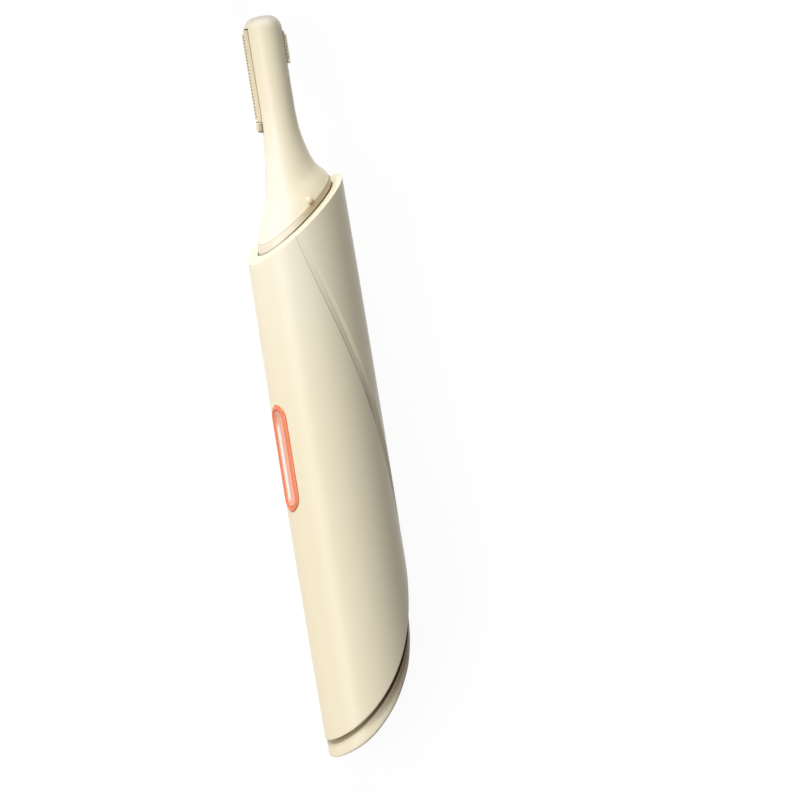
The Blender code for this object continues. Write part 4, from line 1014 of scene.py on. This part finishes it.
combs = {
    "pitch": 0.62, "slot": 0.22, "slotDepth": 0.32, "half": 0.6, "root": 2.35, "edge": 0.12,
    "topRound": 0.3, "topClear": 0.18, "tip": 0.9, "sink": 0.1,
    "bladeHalf": 0.2, "bladeRoot": 1.55, "bladeTooth": 0.5, "bladeShare": 0.8, "bladeEdge": 0.02, "tipGap": 0.07,
    "endGap": 0.75,  # the stroke and some air
    "long": (117.1, 134.32, 4.28, 1),  # low end, high end, reach from the axis, side
    "short": (127.1, 133.2, 3.78, -1),
    "block": {
        "low": 115.25, "high": 116.95, "reach": 4.4, "side": 1, "half": 0.6, "root": 2.35, "edge": 0.4,
        "topRound": 0.4, "lowRound": 0.8,
    },
}


def toothTree():
    # A row of teeth along a line; each narrows from its root to its tip
    tree = bpy.data.node_groups.new("toothRow", "GeometryNodeTree")
    tree.interface.new_socket("Geometry", in_out="OUTPUT", socket_type="NodeSocketGeometry")
    kinds = {"Count": "Int", "Step": "Vector", "Size": "Vector", "Tip": "Float", "Finish": "Material"}
    sockets = {}
    for name, kind in kinds.items():
        socket = tree.interface.new_socket(name, in_out="INPUT", socket_type="NodeSocket" + kind)
        sockets[name] = socket.identifier
    maker = Maker(tree)
    count, step, size, tip, finish = maker.results("NodeGroupInput", list(kinds))
    line = maker.node("GeometryNodeMeshLine", {"mode": "OFFSET"}, {"Count": count, "Offset": step})
    spans = {"Size": size, "Vertices X": 2, "Vertices Y": 4, "Vertices Z": 3}
    x, y, z = maker.results("ShaderNodeSeparateXYZ", None, [maker.node("GeometryNodeInputPosition")])
    depth = maker.results("ShaderNodeSeparateXYZ", None, [size])[1]
    taper = maker.node("ShaderNodeMapRange", {}, {"Value": y / depth + 0.5, "To Min": 1.0, "To Max": tip})
    spot = maker.node("ShaderNodeCombineXYZ", {}, [x * taper, y, z])
    cube = maker.node("GeometryNodeMeshCube", {}, spans)
    tooth = maker.node("GeometryNodeSetPosition", {}, {"Geometry": cube, "Position": spot})
    row = maker.node("GeometryNodeInstanceOnPoints", {}, {"Points": line, "Instance": tooth})
    real = maker.node("GeometryNodeRealizeInstances", {}, {"Geometry": row})
    coated = maker.node("GeometryNodeSetMaterial", {}, {"Geometry": real, "Material": finish})
    maker.node("NodeGroupOutput", {}, [coated])
    return tree, sockets


toothRow, toothSockets = toothTree()


def toothed(name, strip, count, first, size, side, finish):
    # A strip with its row of teeth as one piece; a tooth's Y runs from its root to its tip
    holder = pieceOf("teeth", bpy.data.meshes.new("teeth"))
    row = holder.modifiers.new("teeth", "NODES")
    row.node_group = toothRow
    values = {
        "Count": count, "Step": (combs["pitch"], 0.0, 0.0), "Size": size, "Tip": combs["tip"], "Finish": finish,
    }
    for key, value in values.items():
        row[toothSockets[key]] = value
    teeth = plainMesh(holder)
    for vert in teeth.vertices:
        x, y, z = vert.co
        vert.co = placeTurned(first[0] + x, first[1] + side * y, z)
    work = bmesh.new()
    work.from_mesh(strip.data)
    work.from_mesh(teeth)
    bmesh.ops.recalc_face_normals(work, faces=work.faces)
    mesh = bpy.data.meshes.new(name)
    work.to_mesh(mesh)
    work.free()
    remove(strip, holder)
    bpy.data.meshes.remove(teeth)
    mesh.materials.append(finish)
    return pieceOf(name, mesh)


def channel(name, low, high, reach, side, half, root, edge, topRound=0.0, lowRound=0.0, finish=None):
    # A bar with round outer edges; its outer face curves in at the ends that are given a radius
    rows, ends = [(low, 0)], [(high, 0)]
    if lowRound:
        rows = [(low + lowRound * short, lowRound * across) for across, short in reversed(rounding(8))]
    if topRound:
        ends = [(high - topRound * short, topRound * across) for across, short in rounding(12)]
    rings = []
    for along, drop in rows + ends:
        tip = reach - drop - edge
        ring = [(root, -half)]
        for start, centre in ((-1, edge - half), (0, half - edge)):
            for n in range(6):
                bend = pi / 2 * (start + n / 5)
                ring.append((tip + edge * cos(bend), centre + edge * sin(bend)))
        ring.append((root, half))
        rings.append([placeTurned(along, side * front, up) for front, up in ring])
    return pieceFrom(name, *skin(rings, ends=(True, True)), finish, sharp=40)


def makeComb(name, node, bladeNode, low, high, reach, side):
    pitch, slot, sink, half, gap = (combs[key] for key in ("pitch", "slot", "sink", "half", "endGap"))
    top, depth = reach - combs["slotDepth"], combs["slotDepth"] + sink
    strip = channel("strip", low, high, top, side, half, combs["root"], combs["edge"], combs["topRound"])
    count = int((high - low - combs["topClear"]) / pitch)
    first = (low + (pitch - slot) / 2, side * (reach - depth / 2))
    size = (pitch - slot, depth, 2 * half - combs["edge"])
    comb = toothed(name, strip, count, first, size, side, finishes["comb"])
    settle(comb, "head", "cream_shell", node)
    # The blade's teeth show in the comb's slots
    low, high, half, tip = low + gap, high - gap, combs["bladeHalf"], reach - combs["tipGap"]
    top, depth = tip - combs["bladeTooth"], combs["bladeTooth"] + sink
    strip = channel("strip", low, high, top, side, half, combs["bladeRoot"], combs["bladeEdge"])
    start = low - gap + pitch * 2 - slot / 2
    size = (pitch * combs["bladeShare"], depth, 2 * half)
    first = (start, side * (tip - depth / 2))
    count = int((high - start) / pitch) + 1
    blade = toothed(name + "Blade", strip, count, first, size, side, finishes["bladeSteel"])
    settle(blade, "carrier", "dark_steel", bladeNode)


makeComb("longComb", "long_comb", "long_moving_blade", *combs["long"])
makeComb("shortComb", "short_comb", "short_moving_blade", *combs["short"])
endBlock = channel("combEndBlock", **combs["block"], finish=finishes["block"])
settle(endBlock, "head", "cream_shell", "long_comb_end_block")
print("combs and blades ready")


# Cap, which lies pulled off ahead of the head

cap = {
    "top": 107.2, "rise": 44.6, "topWall": 1.3, "frontWall": 0.95, "crown": 0.5, "fillet": 0.35,
    "ledge": 3.4, "ledgeDepth": 0.12, "ledgeTurn": (24.0, 84.0), "ledgeLifts": (0.06, 0.12, 0.5, 1.3, 2.2, 3.05),
    "edge": 0.2, "columns": 360, "rows": 70, "fullness": 0.9,
}


def capTopAt(front, up, depth, rise):
    end = trimmer["endHalf"]
    share = min(max((front + end) / depth, 0), 1)
    drop = cap["crown"] * (up / (end * trimmer["oval"])) ** 2
    return cap["top"] + rise * sqrt(1 - share ** 2) - drop * (1 - share)


def capRing(half, alongAt, insetAt=None, insetShare=1):
    ring = []
    for turn in turnsRound(cap["columns"]):
        front, up = half * cos(turn), half * trimmer["oval"] * sin(turn)
        along = alongAt(front, up)
        scale = 1 - insetAt(turn, along) * insetShare / half if insetAt else 1
        ring.append(place(along + trimmer["capShift"], front * scale, up * scale))
    return ring


def ledgeInset(turn, _):
    away = degrees(min(turn, 2 * pi - turn))
    return cap["ledgeDepth"] * ease(away, *cap["ledgeTurn"])


def creaseInset(turn, along):
    return creaseDip(turn - creaseAngle(along), along) if along < sleeve["creaseTop"] else 0


def capDome(half, heightAt, count):
    # Rings that close in on the axis, and the point on it
    shares = [cos(pi / 2 * n / count) ** cap["fullness"] for n in range(1, count)]
    rings = [capRing(half * share, heightAt) for share in shares]
    return rings, place(heightAt(0, 0) + trimmer["capShift"], 0, 0)


def makeCap():
    end, bore, edge, fillet, ledge = trimmer["endHalf"], trimmer["bore"], cap["edge"], cap["fillet"], cap["ledge"]

    def top(front, up):
        return capTopAt(front, up, 2 * end, cap["rise"])

    def innerTop(front, up):
        return capTopAt(front, up, 2 * end - cap["frontWall"], cap["rise"] - cap["topWall"])

    def below(drop):
        return lambda front, up: top(front, up) - drop

    def overRim(lift):
        return lambda front, up: rimAt(front) + lift

    def partly(highAt, share):
        # Part of the way up from the rim
        def along(front, up):
            low = rimAt(front) + edge
            return low + share * (highAt(front, up) - low)

        return along

    rings = [capRing(bore + edge * across, overRim(edge * short)) for across, short in rounding(4)]
    for across, short in reversed(rounding(4)):
        rings.append(capRing(end - edge * across, overRim(edge * short), creaseInset))
    for row in range(cap["rows"]):
        rings.append(capRing(end, partly(below(ledge), (row + 1) / cap["rows"]), creaseInset))
    rings += [capRing(end, below(ledge - lift), ledgeInset) for lift in cap["ledgeLifts"]]
    for across, short in rounding(5, 1):
        rings.append(capRing(end - fillet * across, below(fillet * short), ledgeInset, 1 - across))
    dome, peak = capDome(end - fillet, top, 40)
    innerDome, innerPeak = capDome(bore, innerTop, 20)
    # The hollow joins the first ring of the rim's edge
    hollow = [rings[0]] + [capRing(bore, partly(innerTop, share)) for share in (0.25, 0.5, 0.75, 1.0)]
    shells = together(skin(rings + dome, highPoint=peak), skin(hollow + innerDome, highPoint=innerPeak))
    return pieceFrom("capShell", *shells, finishes["cream"], sharp=45)


settle(makeCap(), "cap", "cream_shell", "cap_shell")
print("cap ready")


# Finishes of the pieces that stay as they are

kept = {
    "whiteResin": ("inner_frame", "motor_end_bell", "eccentric_cam", "rocker_lever", "drive_rod"),
    "darkResin": ("tact_switch", "control_chip"),
    "board": ("circuit_board",),
    "cell": ("aaa_battery",),
    "steel": (
        "base_contact_plate", "battery_spring", "battery_contact_plate", "motor_can", "motor_shaft",
        "motor_screw_upper", "motor_screw_lower", "rocker_pin",
    ),
    "brass": ("motor_terminal_upper", "motor_terminal_lower", "motor_bearing"),
    "lead": ("motor_lead_upper", "motor_lead_lower"),
}
for finish, names in kept.items():
    for name in names:
        for holder in nodes[name].material_slots:
            holder.material = finishes[finish]


# Floor and sky: white to the camera and in reflections, plain and a little darker as light

def seenMask(maker):
    # 1 for camera, glossy and transmission rays, else 0
    names = ["Is Camera Ray", "Is Glossy Ray", "Is Transmission Ray"]
    camera, glossy, through = maker.results("ShaderNodeLightPath", names)
    return camera.step("MAXIMUM", camera.step("MAXIMUM", camera, glossy), through)


def makeFloor():
    made = Finish("paleFloor", stage["floor"], 0.9)
    made.feed("Base Color", made.over(made.noise(stage["grain"], 3.0), stage["floorPale"], stage["floorDark"]))
    half = stage["floorHalf"]
    mesh = bpy.data.meshes.new("floor")
    mesh.from_pydata([(-half, -half, 0), (half, -half, 0), (half, half, 0), (-half, half, 0)], [], [(0, 1, 2, 3)])
    mesh.materials.append(made.material)
    floor = pieceOf("floor", mesh)
    floor.location = (0, 0, -stage["floorDrop"])
    # What the camera sees is white, less a soft shadow
    glow = made.node("ShaderNodeEmission", {}, {"Strength": stage["glow"]})
    shade = made.node("ShaderNodeBsdfDiffuse", {}, {"Color": (stage["shadow"],) * 3 + (1,)})
    seen = made.node("ShaderNodeAddShader", {}, [shade, glow])
    lit = Maths(made, made.shader.outputs[0])
    mixed = made.node("ShaderNodeMixShader", {}, [seenMask(made), lit, seen])
    made.tree.links.new(mixed.socket, made.tree.nodes["Material Output"].inputs["Surface"])


def makeSky():
    world = bpy.data.worlds.new("studioSky")
    scene.world = world
    world.use_nodes = True
    world.node_tree.nodes.clear()
    maker = Maker(world.node_tree)
    lit = maker.node("ShaderNodeBackground", {}, {"Color": (*stage["skyColour"], 1), "Strength": stage["sky"]})
    seen = maker.node("ShaderNodeBackground", {}, {"Strength": 1.0})
    mixed = maker.node("ShaderNodeMixShader", {}, [seenMask(maker), lit, seen])
    maker.node("ShaderNodeOutputWorld", {}, {"Surface": mixed})


makeFloor()
makeSky()
print("floor and sky ready")

bpy.context.view_layer.update()
